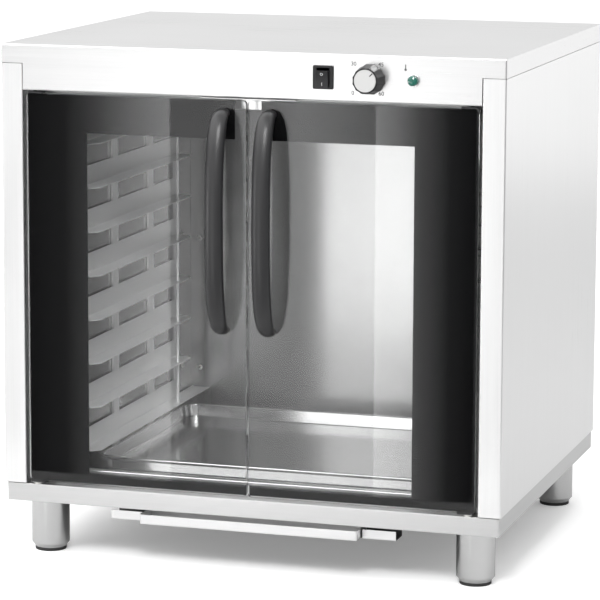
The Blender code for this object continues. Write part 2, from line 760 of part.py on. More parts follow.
def make_front_frame():
    """Folded frame round the cavity's mouth, with the catch strip over the doors welded to it."""
    half_sheet = SHEET / 2
    outer_x = POST_INNER + FRAME_LAP
    low, high = BASE_TOP + GAP + half_sheet, FASCIA_BOTTOM + FRAME_RISE
    inner_x = CAVITY_SIDE - half_sheet
    inner_low = SILL_TOP - half_sheet
    inner_high = HEAD_BOTTOM + half_sheet
    face = FRAME_FACE + half_sheet
    loops = [
        rectangle(-outer_x, outer_x, low, high, FRAME_BACK),
        rectangle(-outer_x, outer_x, low, high, face),
        rectangle(-inner_x, inner_x, inner_low, inner_high, face),
        rectangle(-inner_x, inner_x, inner_low, inner_high, FRAME_BACK),
    ]
    frame = shell("front_frame", loops, SHEET, "cavity_steel")
    half = CATCH_LENGTH / 2
    strip_low = DOOR_TOP + (DOOR_TOP_GAP - CATCH_THICKNESS) / 2
    strip = box("catch_strip", (-half, FRONT + CATCH_SETBACK, strip_low),
                (half, FRAME_FACE + half_sheet, strip_low + CATCH_THICKNESS))
    boolean(frame, strip, "UNION")


def make_cavity():
    """Floor, ceiling, two side walls with air slots, and the back wall, with their screw heads."""
    start, rear = FRAME_BACK + GAP, CAVITY_BACK + SHEET
    half = CAVITY_SIDE - GAP
    box("cavity_floor", (-half, start, FLOOR_TOP - SHEET), (half, rear, FLOOR_TOP), "cavity_steel")
    ceiling_half = CAVITY_SIDE + WALL_FLANGE
    ceiling = box("cavity_ceiling", (-ceiling_half, start, CEILING), (ceiling_half, rear, CEILING + SHEET),
                  "cavity_steel")
    hole = rod("capillary_hole", (BULB_X, CAPILLARY_Y, CEILING - OVERRUN),
               (BULB_X, CAPILLARY_Y, CEILING + SHEET + OVERRUN), CAPILLARY_HOLE)
    cut(ceiling, hole)
    low, high = BASE_TOP + GAP, CEILING - GAP
    flange_x = -CAVITY_SIDE - WALL_FLANGE
    outline = [(flange_x, high), (-CAVITY_SIDE, high), (-CAVITY_SIDE, low), (flange_x, low)]
    left = folded("left_cavity_wall", outline, "Y", start, rear, WALL_SHEET, "cavity_steel", RAIL_FOLD)
    slot_y = CAVITY_BACK - SLOT_FROM_BACK
    slots = []
    for index in range(RAIL_COUNT - 1):
        z = ledge_height(index) + RAIL_FLANGE
        slots.append(box("slot", (-CAVITY_SIDE - WALL_SHEET - OVERRUN, slot_y - SLOT_WIDTH, z),
                         (OVERRUN - CAVITY_SIDE, slot_y, z + SLOT_HEIGHT), None, SLOT_CORNER, "X"))
    cut(left, merged("wall_slots", slots, None))
    rows = [FLOOR_TOP + CAVITY_SCREW_LOW + row * CAVITY_SCREW_PITCH for row in range(CAVITY_SCREW_ROWS)]
    side_y = CAVITY_BACK - SIDE_SCREW_FROM_BACK
    places = [((-CAVITY_SIDE, side_y, z + SIDE_SCREW_RAISE), (1, 0, 0)) for z in rows]
    boolean(left, screw_heads("wall_screws", CAVITY_SCREW_RADIUS, CAVITY_SCREW_HEAD, places), "UNION")
    mirrored(left, "cavity_steel")
    back = box("cavity_back_wall", (-half, CAVITY_BACK, FLOOR_TOP + GAP), (half, rear, CEILING - GAP),
               "cavity_steel")
    column = CAVITY_SIDE - CAVITY_SCREW_INSET
    places = [((sign * column, CAVITY_BACK, z), (0, -1, 0)) for sign in (-1, 1) for z in rows]
    boolean(back, screw_heads("back_screws", CAVITY_SCREW_RADIUS, CAVITY_SCREW_HEAD, places), "UNION")


def ledge_height(index):
    """Height of the top face of one runner's ledge."""
    return FLOOR_TOP + LOWEST_LEDGE + index * RAIL_PITCH


def make_racks():
    """Welded racks: angle runners with clipped corners on flat uprights, with a tray stop rod."""
    rails = []
    for index in range(RAIL_COUNT):
        top = ledge_height(index)
        end = CAVITY_BACK - GAP if index == 0 else RAIL_BACK
        outline = [(-RAIL_FACE, top + RAIL_FLANGE), (-RAIL_FACE, top), (RAIL_LEDGE - RAIL_FACE, top)]
        rails.append(folded("rail", outline, "Y", RAIL_FRONT, end, RAIL_SHEET, "rack_steel", RAIL_FOLD))
    left = merged("left_tray_rack", rails, "rack_steel")
    low, high = ledge_height(0), ledge_height(RAIL_COUNT - 1)
    corner_x = RAIL_LEDGE - RAIL_FACE
    front_clip = rod("front_clip", (corner_x, RAIL_FRONT, low - OVERRUN),
                     (corner_x, RAIL_FRONT, high + OVERRUN), RAIL_CHAMFER, None, CLIP_SIDES)
    rear_clip = rod("rear_clip", (corner_x, RAIL_BACK, low + OVERRUN), (corner_x, RAIL_BACK, high + OVERRUN),
                    RAIL_CHAMFER, None, CLIP_SIDES)
    tail = box("rail_tail", (-RAIL_FACE - RAIL_SHEET - OVERRUN, RAIL_BACK, low + RAIL_FOLD),
               (OVERRUN - RAIL_FACE, CAVITY_BACK + OVERRUN, low + RAIL_FLANGE + OVERRUN))
    cut(left, front_clip, rear_clip, tail)
    bars = []
    for share in UPRIGHT_SHARES:
        y = RAIL_FRONT + RAIL_LENGTH * share
        bars.append(box("upright", (-UPRIGHT_OUTER, y, FLOOR_TOP + GAP),
                        (-RAIL_FACE - RAIL_SHEET / 2, y + UPRIGHT_WIDTH, high + RAIL_FLANGE + UPRIGHT_TOP)))
    bars.append(rod("stop", (-ROD_X, ROD_Y, low - RAIL_SHEET / 2), (-ROD_X, ROD_Y, high + ROD_RISE),
                    ROD_RADIUS))
    boolean(left, merged("rack_bars", bars, None), "UNION")
    mirrored(left, "rack_steel")


def make_water_pan():
    """Shallow pan with rounded corners, a flat rim and a turned down lip."""
    half_x, half_y = (TRAY_WIDTH - PAN_SHEET) / 2, (PAN_DEPTH - PAN_SHEET) / 2
    middle_y = PAN_FRONT + PAN_DEPTH / 2
    bottom = FLOOR_TOP + GAP + PAN_SHEET / 2
    top = bottom + PAN_HEIGHT - PAN_SHEET

    def ring(inset, z):
        points = rounded_rectangle(half_x - inset, half_y - inset, PAN_CORNER - inset, PAN_CORNER_STEPS)
        return [(x, middle_y + y, z) for x, y in points]

    loops = [ring(0, top - PAN_LIP), ring(0, top - PAN_SHEET), ring(PAN_SHEET, top),
             ring(PAN_RIM - PAN_SHEET, top), ring(PAN_RIM, top - PAN_SHEET),
             ring(PAN_RIM + PAN_DRAFT, bottom + PAN_FLOOR_BEND),
             ring(PAN_RIM + PAN_DRAFT + PAN_FLOOR_BEND, bottom)]
    pan = shell("water_pan", loops, PAN_SHEET, "cavity_steel", True)
    hang("water_pan_slide", (0, middle_y, bottom), [pan])


def make_glass():
    """Left door glass: rounded corners, eased edges and two holes for the handle's screws."""
    glass = box("left_door_glass", (-DOOR_OUTER, FRONT, DOOR_BOTTOM), (-DOOR_INNER, GLASS_BACK, DOOR_TOP),
                "glass", GLASS_CORNER, "Y", GLASS_CORNER_STEPS)
    eased = glass.modifiers.new("eased", "BEVEL")
    eased.width = GLASS_EDGE
    eased.segments = 1
    eased.limit_method = "ANGLE"
    eased.angle_limit = EASED_ANGLE
    for z in HANDLE_FEET:
        hole = rod("glass_hole", (-HANDLE_FROM_MIDDLE, FRONT - OVERRUN, z),
                   (-HANDLE_FROM_MIDDLE, GLASS_BACK + OVERRUN, z), HANDLE_HOLE)
        cut(glass, hole)
    return glass


def make_film():
    """Black border behind the left glass: side, top and bottom bands, open towards the middle."""
    outer, inner = FILM_MARGIN - DOOR_OUTER, FILM_SIDE - DOOR_OUTER
    low, high = DOOR_BOTTOM + FILM_MARGIN, DOOR_TOP - FILM_MARGIN
    outline = [(outer, low), (-FILM_BOTTOM_END, low), (-FILM_BOTTOM_END, DOOR_BOTTOM + FILM_BOTTOM),
               (inner, DOOR_BOTTOM + FILM_BOTTOM), (inner, DOOR_TOP - FILM_TOP),
               (-FILM_TOP_END, DOOR_TOP - FILM_TOP), (-FILM_TOP_END, high), (outer, high)]
    reach = HANDLE_SCREW_HEAD + GAP
    hole = []
    for step in range(SMALL_SIDES):
        angle = step * 2 * math.pi / SMALL_SIDES
        hole.append((reach * math.cos(angle) - HANDLE_FROM_MIDDLE, reach * math.sin(angle) + HANDLE_FEET[1]))
    return plate("left_door_border", [outline, hole], FILM, "black_film", (0, FILM_BACK - FILM / 2, 0),
                 (math.pi / 2, 0, 0))


def make_hinge_clamps():
    """Upper and lower clamps behind the left glass, each with its tongue and pivot pin."""
    outer, inner = CLAMP_EDGE - DOOR_OUTER, CLAMP_WIDTH - DOOR_OUTER
    face, back = FILM_BACK + GAP, FILM_BACK + GAP + CLAMP_THICKNESS
    clamps = []
    for level, edge, sign in (("upper", DOOR_TOP, 1), ("lower", DOOR_BOTTOM, -1)):
        tip = edge + sign * (GAP + CLAMP_TONGUE)
        low, high = sorted((edge - sign * CLAMP_HEIGHT, tip))
        clamp = box("left_" + level + "_hinge", (outer, face, low), (inner, back, high), "black_metal",
                    CLAMP_EDGE, "Y")
        low, high = sorted((edge + sign * GAP, tip - sign * GAP))
        inset = CLAMP_EDGE * 2
        tongue = box("hinge_tongue", (outer + inset, FRONT, low), (inner - inset, PIVOT_Y, high))
        pin = rod("hinge_pin", (-PIVOT_X, PIVOT_Y, tip - sign * CLAMP_TONGUE / 2),
                  (-PIVOT_X, PIVOT_Y, tip + sign * PIVOT_LENGTH), PIVOT_RADIUS)
        boolean(clamp, tongue, "UNION")
        boolean(clamp, pin, "UNION")
        clamps.append(clamp)
    return clamps


def make_hinge_bushings():
    """Flanged bushes for the four pivot pins, in the fascia's return and in the base rim."""
    lower_flange = DOOR_BOTTOM - GAP * 2 - CLAMP_TONGUE - BASE_TOP - GAP
    levels = (("lower", BASE_TOP, lower_flange), ("upper", FASCIA_BOTTOM + SHEET, BUSH_LIP))
    for level, seat, flange in levels:
        bore = PIVOT_RADIUS + PIVOT_PLAY
        profile = [(bore, flange), (BUSH_FLANGE, flange), (BUSH_FLANGE, 0), (BUSH_NECK, 0),
                   (BUSH_NECK, -SHEET - GAP), (bore, -SHEET - GAP)]
        for side, sign in SIDES.items():
            turned(side + "_" + level + "_bushing", profile, "nylon", (sign * PIVOT_X, PIVOT_Y, seat + GAP),
                   (0, 0, 1), SMALL_SIDES, True)


def bow_point(share):
    """Point on the handle's bow, as reach from the glass and height, for -1 to 1 along it."""
    angle = share * math.pi / 2
    power = 2 / HANDLE_ROUNDNESS
    height = math.copysign(abs(math.sin(angle)) ** power, share) * HANDLE_FOOT_OFFSET
    reach = max(math.cos(angle), 0) ** power * HANDLE_BOW
    return reach, height


def make_handle():
    """Bowed oval grip of the left door, flat where it meets the glass and bored for its screws."""
    shares = [2 * index / HANDLE_POINTS - 1 for index in range(HANDLE_POINTS + 1)]
    points = []
    for share in shares:
        reach, height = bow_point(share)
        points.append((0, FRONT - GAP - reach, HANDLE_Z + height))
    lower, upper = [(0, FRONT + HANDLE_ROOT, z) for z in HANDLE_FEET]
    points = [lower] + points + [upper]
    waist_shares = [1 - (1 - HANDLE_END_SHARE) * share ** 4 for share in [-1] + shares + [1]]
    grip = tube("left_door_handle", points, HANDLE_THICKNESS / 2, "black_plastic", waist_shares,
                HANDLE_SIDES_STEP)
    widen = Matrix.Diagonal((HANDLE_WIDTH / HANDLE_THICKNESS, 1, 1, 1))
    grip = meshed(grip, "black_plastic", Matrix.Translation((-HANDLE_FROM_MIDDLE, 0, 0)) @ widen)
    flat = box("handle_flat", (-HANDLE_FROM_MIDDLE - HANDLE_WIDTH, FRONT - GAP, DOOR_BOTTOM),
               (HANDLE_WIDTH - HANDLE_FROM_MIDDLE, FRONT + HANDLE_ROOT + OVERRUN, HEIGHT))
    cut(grip, flat)
    for z in HANDLE_FEET:
        bore = rod("handle_bore", (-HANDLE_FROM_MIDDLE, FRONT - HANDLE_SCREW_DEPTH - GAP, z),
                   (-HANDLE_FROM_MIDDLE, FRONT + OVERRUN, z), HANDLE_SCREW_RADIUS + GAP)
        cut(grip, bore)
    return grip


def make_handle_screws():
    """Screws through the left glass into the handle's feet, with their heads inside."""
    tip, seat = FRONT - HANDLE_SCREW_DEPTH, GLASS_BACK + GAP
    length = seat + HANDLE_SCREW_HEAD_HEIGHT - tip
    head, crown = HANDLE_SCREW_HEAD, HANDLE_SCREW_CROWN
    profile = [(0, length), (head - crown, length), (head, length - crown), (head, seat - tip),
               (HANDLE_SCREW_RADIUS, seat - tip), (HANDLE_SCREW_RADIUS, 0), (0, 0)]
    return [turned("left_handle_" + level + "_screw", profile, "screw_steel", (-HANDLE_FROM_MIDDLE, tip, z),
                   (0, 1, 0), SMALL_SIDES)
            for level, z in zip(("lower", "upper"), HANDLE_FEET)]


def make_doors():
    """Both doors, the left one first and the right one as its mirror."""
    top, face = DOOR_TOP - FILM_MARGIN, FILM_BACK + GAP
    strike = box("left_strike_plate", (-STRIKE_INNER - STRIKE_WIDTH, face, top - STRIKE_HEIGHT),
                 (-STRIKE_INNER, face + STRIKE_THICKNESS, top), "screw_steel", STRIKE_CORNER, "Y")
    left = [make_glass(), make_film(), make_handle(), strike] + make_hinge_clamps() + make_handle_screws()
    right = [mirrored(piece, piece.data.materials[0].name) for piece in left]
    hang("left_door_hinge", (-PIVOT_X, PIVOT_Y, DOOR_BOTTOM), left)
    hang("right_door_hinge", (PIVOT_X, PIVOT_Y, DOOR_BOTTOM), right)


def make_catches():
    """Magnets on the frame behind the doors' strike plates."""
    face = FILM_BACK + STRIKE_THICKNESS + GAP * 2
    top = DOOR_TOP - FILM_MARGIN - MAGNET_MARGIN
    outer, inner = MAGNET_MARGIN - STRIKE_INNER - STRIKE_WIDTH, -STRIKE_INNER - MAGNET_MARGIN
    left = box("left_magnet_catch", (outer, face, top - STRIKE_HEIGHT + MAGNET_MARGIN * 2),
               (inner, FRAME_FACE - GAP, top), "black_plastic", MAGNET_CORNER, "Y")
    mirrored(left, "black_plastic")


def make_knob():
    """Faceted knob on the thermostat's shaft, with a silver disc notched for its pointer mark."""
    back, front = FRONT - KNOB_STANDOFF, FRONT - KNOB_STANDOFF - KNOB_LENGTH
    knob = rod("control_knob", (KNOB_X, back, CONTROL_Z), (KNOB_X, front, CONTROL_Z), KNOB_BASE_RADIUS,
               "black_plastic", KNOB_FACETS, KNOB_FRONT_RADIUS, math.pi / KNOB_FACETS)
    soft = knob.modifiers.new("soft", "BEVEL")
    soft.width = KNOB_FACET_ROUND
    soft.segments = BEND_STEPS
    soft.limit_method = "ANGLE"
    soft.angle_limit = KNOB_FACET_ANGLE
    recess = rod("knob_recess", (KNOB_X, front + KNOB_DISC_THICKNESS + GAP, CONTROL_Z),
                 (KNOB_X, front - OVERRUN, CONTROL_Z), KNOB_DISC_RADIUS + GAP, None, ROUND_SIDES)
    bore = rod("knob_bore", (KNOB_X, back + OVERRUN, CONTROL_Z), (KNOB_X, back - KNOB_BORE_DEPTH, CONTROL_Z),
               SHAFT_RADIUS + GAP)
    cut(knob, recess, bore)
    disc = rod("knob_disc", (KNOB_X, front + KNOB_DISC_THICKNESS, CONTROL_Z), (KNOB_X, front, CONTROL_Z),
               KNOB_DISC_RADIUS, "silver_disc", ROUND_SIDES)
    mark = box("pointer_notch", (-KNOB_POINTER_WIDTH / 2, -OVERRUN, KNOB_DISC_RADIUS - KNOB_POINTER_LENGTH),
               (KNOB_POINTER_WIDTH / 2, OVERRUN, KNOB_DISC_RADIUS + OVERRUN))
    mark.location = (KNOB_X, front, CONTROL_Z)
    mark.rotation_euler = (0, KNOB_POINTER_ANGLE, 0)
    cut(disc, mark)
    shaft = rod("thermostat_shaft", (KNOB_X, FRONT + SHEET + SHAFT_SEAT, CONTROL_Z),
                (KNOB_X, back - KNOB_BORE_DEPTH + GAP, CONTROL_Z), SHAFT_RADIUS, "screw_steel")
    hang("knob_turn", (KNOB_X, FRONT, CONTROL_Z), [knob, disc, shaft])


def make_thermostat():
    """Thermostat body behind the fascia, and its bulb clipped under the cavity's ceiling."""
    half = THERMOSTAT_SIZE / 2
    face = FRONT + SHEET + GAP
    rear = face + THERMOSTAT_DEPTH
    body = box("thermostat_body", (KNOB_X - half, face, CONTROL_Z - half),
               (KNOB_X + half, rear, CONTROL_Z + half), "white_ceramic", THERMOSTAT_CORNER, "Y")
    seat = rod("thermostat_bore", (KNOB_X, face + SHAFT_SEAT, CONTROL_Z),
               (KNOB_X, face - OVERRUN, CONTROL_Z), SHAFT_RADIUS + GAP)
    cut(body, seat)
    bend, start_y = CAPILLARY_BEND, CAPILLARY_Y + CLIP_WIDTH
    bulb_z = CEILING - BULB_BELOW_CEILING
    points = [(KNOB_X, rear + GAP, CONTROL_Z), (KNOB_X, rear + bend, CONTROL_Z),
              (BULB_X, CAPILLARY_Y - bend, CONTROL_Z), (BULB_X, CAPILLARY_Y, CONTROL_Z - bend),
              (BULB_X, CAPILLARY_Y, bulb_z + bend), (BULB_X, CAPILLARY_Y + bend, bulb_z),
              (BULB_X, start_y, bulb_z), (BULB_X, start_y + BULB_RADIUS, bulb_z),
              (BULB_X, start_y + BULB_LENGTH, bulb_z)]
    thin_share = CAPILLARY_RADIUS / BULB_RADIUS
    shares = [thin_share for point in points[:-2]] + [1, 1]
    tube("thermostat_bulb", points, BULB_RADIUS, "copper", shares)
    clip_y = start_y + BULB_LENGTH / 2
    inner, outer = BULB_RADIUS + GAP, BULB_RADIUS + GAP + CLIP_WIDTH
    under = CEILING - GAP
    outline = [(BULB_X - outer, under), (BULB_X - inner, under), (BULB_X - inner, bulb_z - inner),
               (BULB_X + inner, bulb_z - inner), (BULB_X + inner, under), (BULB_X + outer, under)]
    folded("bulb_clip", outline, "Y", clip_y, clip_y + CLIP_WIDTH, CLIP_SHEET, "screw_steel", 0)


def make_switch():
    """Switch body with its bezel and terminal blades, and the rocker with its lower end pressed in."""
    front = FRONT - GAP
    half_x, half_z = SWITCH_WIDTH / 2, SWITCH_HEIGHT / 2
    body = box("switch_body", (SWITCH_X - half_x, front - SWITCH_BEZEL, SWITCH_Z - half_z),
               (SWITCH_X + half_x, front, SWITCH_Z + half_z), "black_plastic", SWITCH_CORNER, "Y")
    half_x, half_z, rear = SWITCH_BODY_WIDTH / 2, SWITCH_BODY_HEIGHT / 2, front + SWITCH_BODY_DEPTH
    block = box("switch_block", (SWITCH_X - half_x, front - SWITCH_BEZEL / 2, SWITCH_Z - half_z),
                (SWITCH_X + half_x, rear, SWITCH_Z + half_z))
    boolean(body, block, "UNION")
    half_blade = SWITCH_TERMINAL_HEIGHT / 2
    for sign in (-1, 1):
        x = SWITCH_X + sign * half_x / 2
        blade = box("switch_blade", (x, rear - OVERRUN, SWITCH_Z - half_blade),
                    (x + SWITCH_TERMINAL, rear + SWITCH_TERMINAL_LENGTH, SWITCH_Z + half_blade))
        boolean(body, blade, "UNION")
    pivot_y = front - SWITCH_BEZEL + ROCKER_PIVOT_DEPTH
    pocket_x, pocket_z = ROCKER_WIDTH / 2 + ROCKER_PLAY, ROCKER_HEIGHT / 2 + ROCKER_TILT_ROOM
    pocket = box("switch_pocket", (SWITCH_X - pocket_x, front - SWITCH_BEZEL - OVERRUN, SWITCH_Z - pocket_z),
                 (SWITCH_X + pocket_x, pivot_y + ROCKER_BACK + ROCKER_FLOOR, SWITCH_Z + pocket_z))
    cut(body, pocket)
    half = ROCKER_HEIGHT / 2
    outline = [(ROCKER_BACK, half - ROCKER_TAPER), (-ROCKER_REACH, half), (ROCKER_DIP - ROCKER_REACH, 0),
               (-ROCKER_REACH, -half), (ROCKER_BACK, ROCKER_TAPER - half)]
    rocker = plate("switch_rocker", [outline], ROCKER_WIDTH, "black_plastic", (0, 0, 0),
                   (math.pi / 2, 0, math.pi / 2))
    rocker.location = (SWITCH_X, pivot_y, SWITCH_Z)
    rocker.rotation_euler = (ROCKER_TILT, 0, 0)


def make_lamp():
    """Pilot lamp: chrome bezel with its neck, and a domed green lens before it."""
    bezel, high = LAMP_BEZEL_RADIUS, LAMP_BEZEL_HEIGHT
    profile = [(0, high), (bezel - high / 2, high), (bezel, high / 2), (bezel, 0), (LAMP_NECK, 0),
               (LAMP_NECK, -LAMP_BODY_LENGTH), (0, -LAMP_BODY_LENGTH)]
    turned("lamp_body", profile, "chrome", (LAMP_X, FRONT - GAP, CONTROL_Z), (0, -1, 0))
    profile = []
    for step in range(LAMP_DOME_STEPS + 1):
        angle = math.pi / 2 * step / LAMP_DOME_STEPS
        profile.append((LAMP_LENS_RADIUS * math.sin(angle),
                        LAMP_LENS_HEIGHT - LAMP_DOME * (1 - math.cos(angle))))
    profile += [(LAMP_LENS_RADIUS, 0), (0, 0)]
    turned("lamp_lens", profile, "green_lens", (LAMP_X, FRONT - GAP * 2 - high, CONTROL_Z), (0, -1, 0))


def make_heating_element():
    """Sheathed element snaking under the cavity floor, on a support of two bars and a tie."""
    low = BASE_BOTTOM + SHEET + GAP
    z = low + SUPPORT_HEIGHT + GAP + ELEMENT_RADIUS
    middle = (FRONT + BACK) / 2
    pitch = 2 * ELEMENT_HALF_WIDTH / (ELEMENT_RUNS - 1)
    points = []
    for run in range(ELEMENT_RUNS):
        x = run * pitch - ELEMENT_HALF_WIDTH
        way = -1 if run % 2 else 1
        points.append((x, middle - way * ELEMENT_HALF_DEPTH, z))
        if run == ELEMENT_RUNS - 1:
            points.append((x, middle + way * ELEMENT_HALF_DEPTH, z))
            break
        for step in range(ELEMENT_BEND_POINTS):
            angle = math.pi * step / ELEMENT_BEND_POINTS
            points.append((x + pitch / 2 * (1 - math.cos(angle)),
                           middle + way * (ELEMENT_HALF_DEPTH + pitch / 2 * math.sin(angle)), z))
    tube("heating_element", points, ELEMENT_RADIUS, "screw_steel")
    reach = ELEMENT_HALF_WIDTH + SUPPORT_WIDTH
    half = SUPPORT_WIDTH / 2
    front_y, rear_y = middle - ELEMENT_HALF_DEPTH / 2, middle + ELEMENT_HALF_DEPTH / 2
    top = low + SUPPORT_HEIGHT
    support = box("element_support", (-reach, front_y - half, low), (reach, front_y + half, top),
                  "screw_steel")
    rear_bar = box("rear_support", (-reach, rear_y - half, low), (reach, rear_y + half, top))
    tie = box("support_tie", (-half, front_y, low), (half, rear_y, top))
    boolean(support, rear_bar, "UNION")
    boolean(support, tie, "UNION")


def make_wiring_parts():
    """Terminal block on the cavity's ceiling and the cable gland in the back panel."""
    y, low = CAVITY_BACK - TERMINAL_FROM_BACK, CEILING + SHEET + GAP
    top = low + TERMINAL_HEIGHT
    block = box("terminal_block", (TERMINAL_X, y, low),
                (TERMINAL_X + TERMINAL_LENGTH, y + TERMINAL_DEPTH, top), "white_ceramic")
    pitch = TERMINAL_LENGTH / TERMINAL_WAYS
    for way in range(TERMINAL_WAYS):
        x = TERMINAL_X + pitch * (way + 1 / 2)
        screw = rod("terminal_screw", (x, y + TERMINAL_DEPTH / 2, top - TERMINAL_SCREW_DEPTH),
                    (x, y + TERMINAL_DEPTH / 2, top + OVERRUN), TERMINAL_SCREW, None, TERMINAL_SCREW_SIDES)
        cut(block, screw)
        if way:
            edge = TERMINAL_X + pitch * way
            notch = box("terminal_notch",
                        (edge - TERMINAL_NOTCH / 2, y - OVERRUN, top - TERMINAL_NOTCH_DEPTH),
                        (edge + TERMINAL_NOTCH / 2, y + TERMINAL_DEPTH + OVERRUN, top + OVERRUN))
            cut(block, notch)
    z = SKIRT_BOTTOM - GLAND_BELOW_TOP
    profile = [(0, GLAND_REACH), (GLAND_DOME - GLAND_CROWN, GLAND_REACH),
               (GLAND_DOME, GLAND_REACH - GLAND_CROWN), (GLAND_DOME, GLAND_HEX_LENGTH / 2),
               (GLAND_NECK, GLAND_HEX_LENGTH / 2), (GLAND_NECK, -GLAND_INSIDE), (0, -GLAND_INSIDE)]
    gland = turned("cable_gland", profile, "black_plastic", (GLAND_X, BACK, z), (0, 1, 0), SMALL_SIDES)
    nut = rod("gland_nut", (GLAND_X, BACK + GAP, z), (GLAND_X, BACK + GLAND_HEX_LENGTH, z), GLAND_HEX, None,
              NUT_SIDES)
    bore = rod("gland_bore", (GLAND_X, BACK - GLAND_INSIDE - OVERRUN, z),
               (GLAND_X, BACK + GLAND_REACH + OVERRUN, z), GLAND_BORE)
    boolean(gland, nut, "UNION")
    cut(gland, bore)


def make_legs():
    """Four tubular legs with a stud above and a bored plug below, and a levelling foot in each."""
    top, end = LEG_HEIGHT - GAP, FOOT_HEIGHT + GAP
    inner, bore, stud = LEG_RADIUS - LEG_WALL, FOOT_STEM_RADIUS + GAP, top + LEG_STUD_LENGTH
    ring = end + LEG_END_RING
    profile = [(0, stud), (LEG_STUD_RADIUS, stud), (LEG_STUD_RADIUS, top), (LEG_RADIUS, top),
               (LEG_RADIUS, ring + LEG_TAPER), (LEG_END_RADIUS, ring), (LEG_END_RADIUS, end), (bore, end),
               (bore, end + LEG_PLUG), (inner, end + LEG_PLUG), (inner, top - LEG_PLATE),
               (0, top - LEG_PLATE)]
    stem = FOOT_HEIGHT + FOOT_STEM_LENGTH
    foot_profile = [(0, stem), (FOOT_STEM_RADIUS, stem), (FOOT_STEM_RADIUS, FOOT_HEIGHT),
                    (FOOT_RADIUS, FOOT_HEIGHT), (FOOT_RADIUS, FOOT_EDGE),
                    (FOOT_RADIUS - FOOT_EDGE, 0), (0, 0)]
    for corner, (x, y) in CORNERS.items():
        turned(corner + "_leg", profile, "leg_steel", (x, y, 0))
        turned(corner + "_foot", foot_profile, "black_rubber", (x, y, 0))


def make_drip_tray():
    """Trough hung under the base by its screwed flange, and the shallow tray that slides out of it."""
    low, back, top = HOLDER_BOTTOM, HOLDER_FRONT + HOLDER_DEPTH, BASE_BOTTOM - GAP
    outline = [(HOLDER_FRONT, low + HOLDER_WALL), (HOLDER_FRONT, low), (back, low), (back, top),
               (back + HOLDER_FLANGE, top)]
    half = HOLDER_WIDTH / 2
    holder = folded("drip_tray_holder", outline, "X", -half, half, DRIP_SHEET, "case_steel", RAIL_FOLD)
    tray_low, tray_front, tray_x = low + GAP, FRONT + DRIP_SETBACK, DRIP_WIDTH / 2
    pass_x = tray_x + DRIP_SIDE_PLAY
    mouth = box("holder_mouth", (-pass_x, HOLDER_FRONT - OVERRUN, low),
                (pass_x, HOLDER_FRONT + OVERRUN / 2, low + HOLDER_WALL + OVERRUN))
    cut(holder, mouth)
    flange_y = back + (DRIP_SHEET + HOLDER_FLANGE) / 2
    spread = half - CASE_SCREW_END
    places = [((x, flange_y, top - DRIP_SHEET), (0, 0, -1)) for x in (-spread, 0, spread)]
    boolean(holder, screw_heads("holder_screws", CASE_SCREW_RADIUS, CASE_SCREW_HEAD, places), "UNION")
    tray = box("drip_tray", (-tray_x, tray_front, tray_low),
               (tray_x, tray_front + DRIP_DEPTH, tray_low + DRIP_HEIGHT), "case_steel", DRIP_SHEET, "Z")
    tray_rear = tray_front + DRIP_DEPTH
    hollow = box("drip_hollow", (DRIP_SHEET - tray_x, tray_front + DRIP_SHEET, tray_low + DRIP_SHEET),
                 (tray_x - DRIP_SHEET, tray_rear - DRIP_SHEET, tray_low + DRIP_HEIGHT + OVERRUN))
    cut(tray, hollow)


clear_scene()
PARTS = new_collection("proofing_cabinet")
CUTTERS = new_collection("cutters")
MATERIALS = {name: make_material(name) for name in FINISHES}
make_base()
make_cover()
make_side_panels()
make_back_panel()
make_front_frame()
make_cavity()
make_racks()
make_water_pan()
make_doors()
make_hinge_bushings()
make_catches()
make_knob()
make_thermostat()
make_switch()
make_lamp()
make_heating_element()
make_wiring_parts()
make_legs()
make_drip_tray()
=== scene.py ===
"""Proofing cabinet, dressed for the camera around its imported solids.

Stainless case, two bordered glass doors, tray racks, water pan, controls, legs and drip tray.
Metres, +Z up, the doors face -Y, and the origin is on the floor under the middle of the whole object.
"""
import logging
import math
from dataclasses import dataclass
from enum import Enum
from typing import Dict, Iterable, List, Optional, Sequence, Tuple

import bmesh
import bpy
import numpy as np
from mathutils import Matrix, Vector


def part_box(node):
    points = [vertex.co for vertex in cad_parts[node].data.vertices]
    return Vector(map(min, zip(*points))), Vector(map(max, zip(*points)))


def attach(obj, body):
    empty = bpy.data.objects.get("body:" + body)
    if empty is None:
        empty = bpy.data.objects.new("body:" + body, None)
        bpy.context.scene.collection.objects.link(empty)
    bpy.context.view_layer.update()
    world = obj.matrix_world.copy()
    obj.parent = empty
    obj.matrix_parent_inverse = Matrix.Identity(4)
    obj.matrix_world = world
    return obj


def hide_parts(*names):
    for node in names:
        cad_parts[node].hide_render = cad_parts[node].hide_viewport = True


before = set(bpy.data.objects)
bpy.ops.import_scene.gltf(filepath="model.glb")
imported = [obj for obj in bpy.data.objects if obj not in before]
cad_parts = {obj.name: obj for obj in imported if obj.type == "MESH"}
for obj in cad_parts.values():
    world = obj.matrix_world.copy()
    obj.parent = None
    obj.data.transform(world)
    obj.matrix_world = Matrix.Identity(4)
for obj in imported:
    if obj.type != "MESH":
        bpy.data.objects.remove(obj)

LOG = logging.getLogger("proofing_cabinet")
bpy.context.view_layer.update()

Colour = Tuple[float, float, float]
Point = Tuple[float, float, float]
Span = Tuple[float, float]

# Insets smaller than this leave an outline as it is
SAME_POINT = 1e-9
# Points closer than this are one
MERGE_WITHIN = 1e-6


class Axis(Enum):
    """The three axes of the cabinet's frame, by index."""

    X = 0
    Y = 1
    Z = 2


class Side(Enum):
    """Left or right half of the cabinet, as seen by someone who faces the doors."""

    LEFT = -1
    RIGHT = 1

    @property
    def word(self) -> str:
        """Name used in piece names."""
        return self.name.lower()


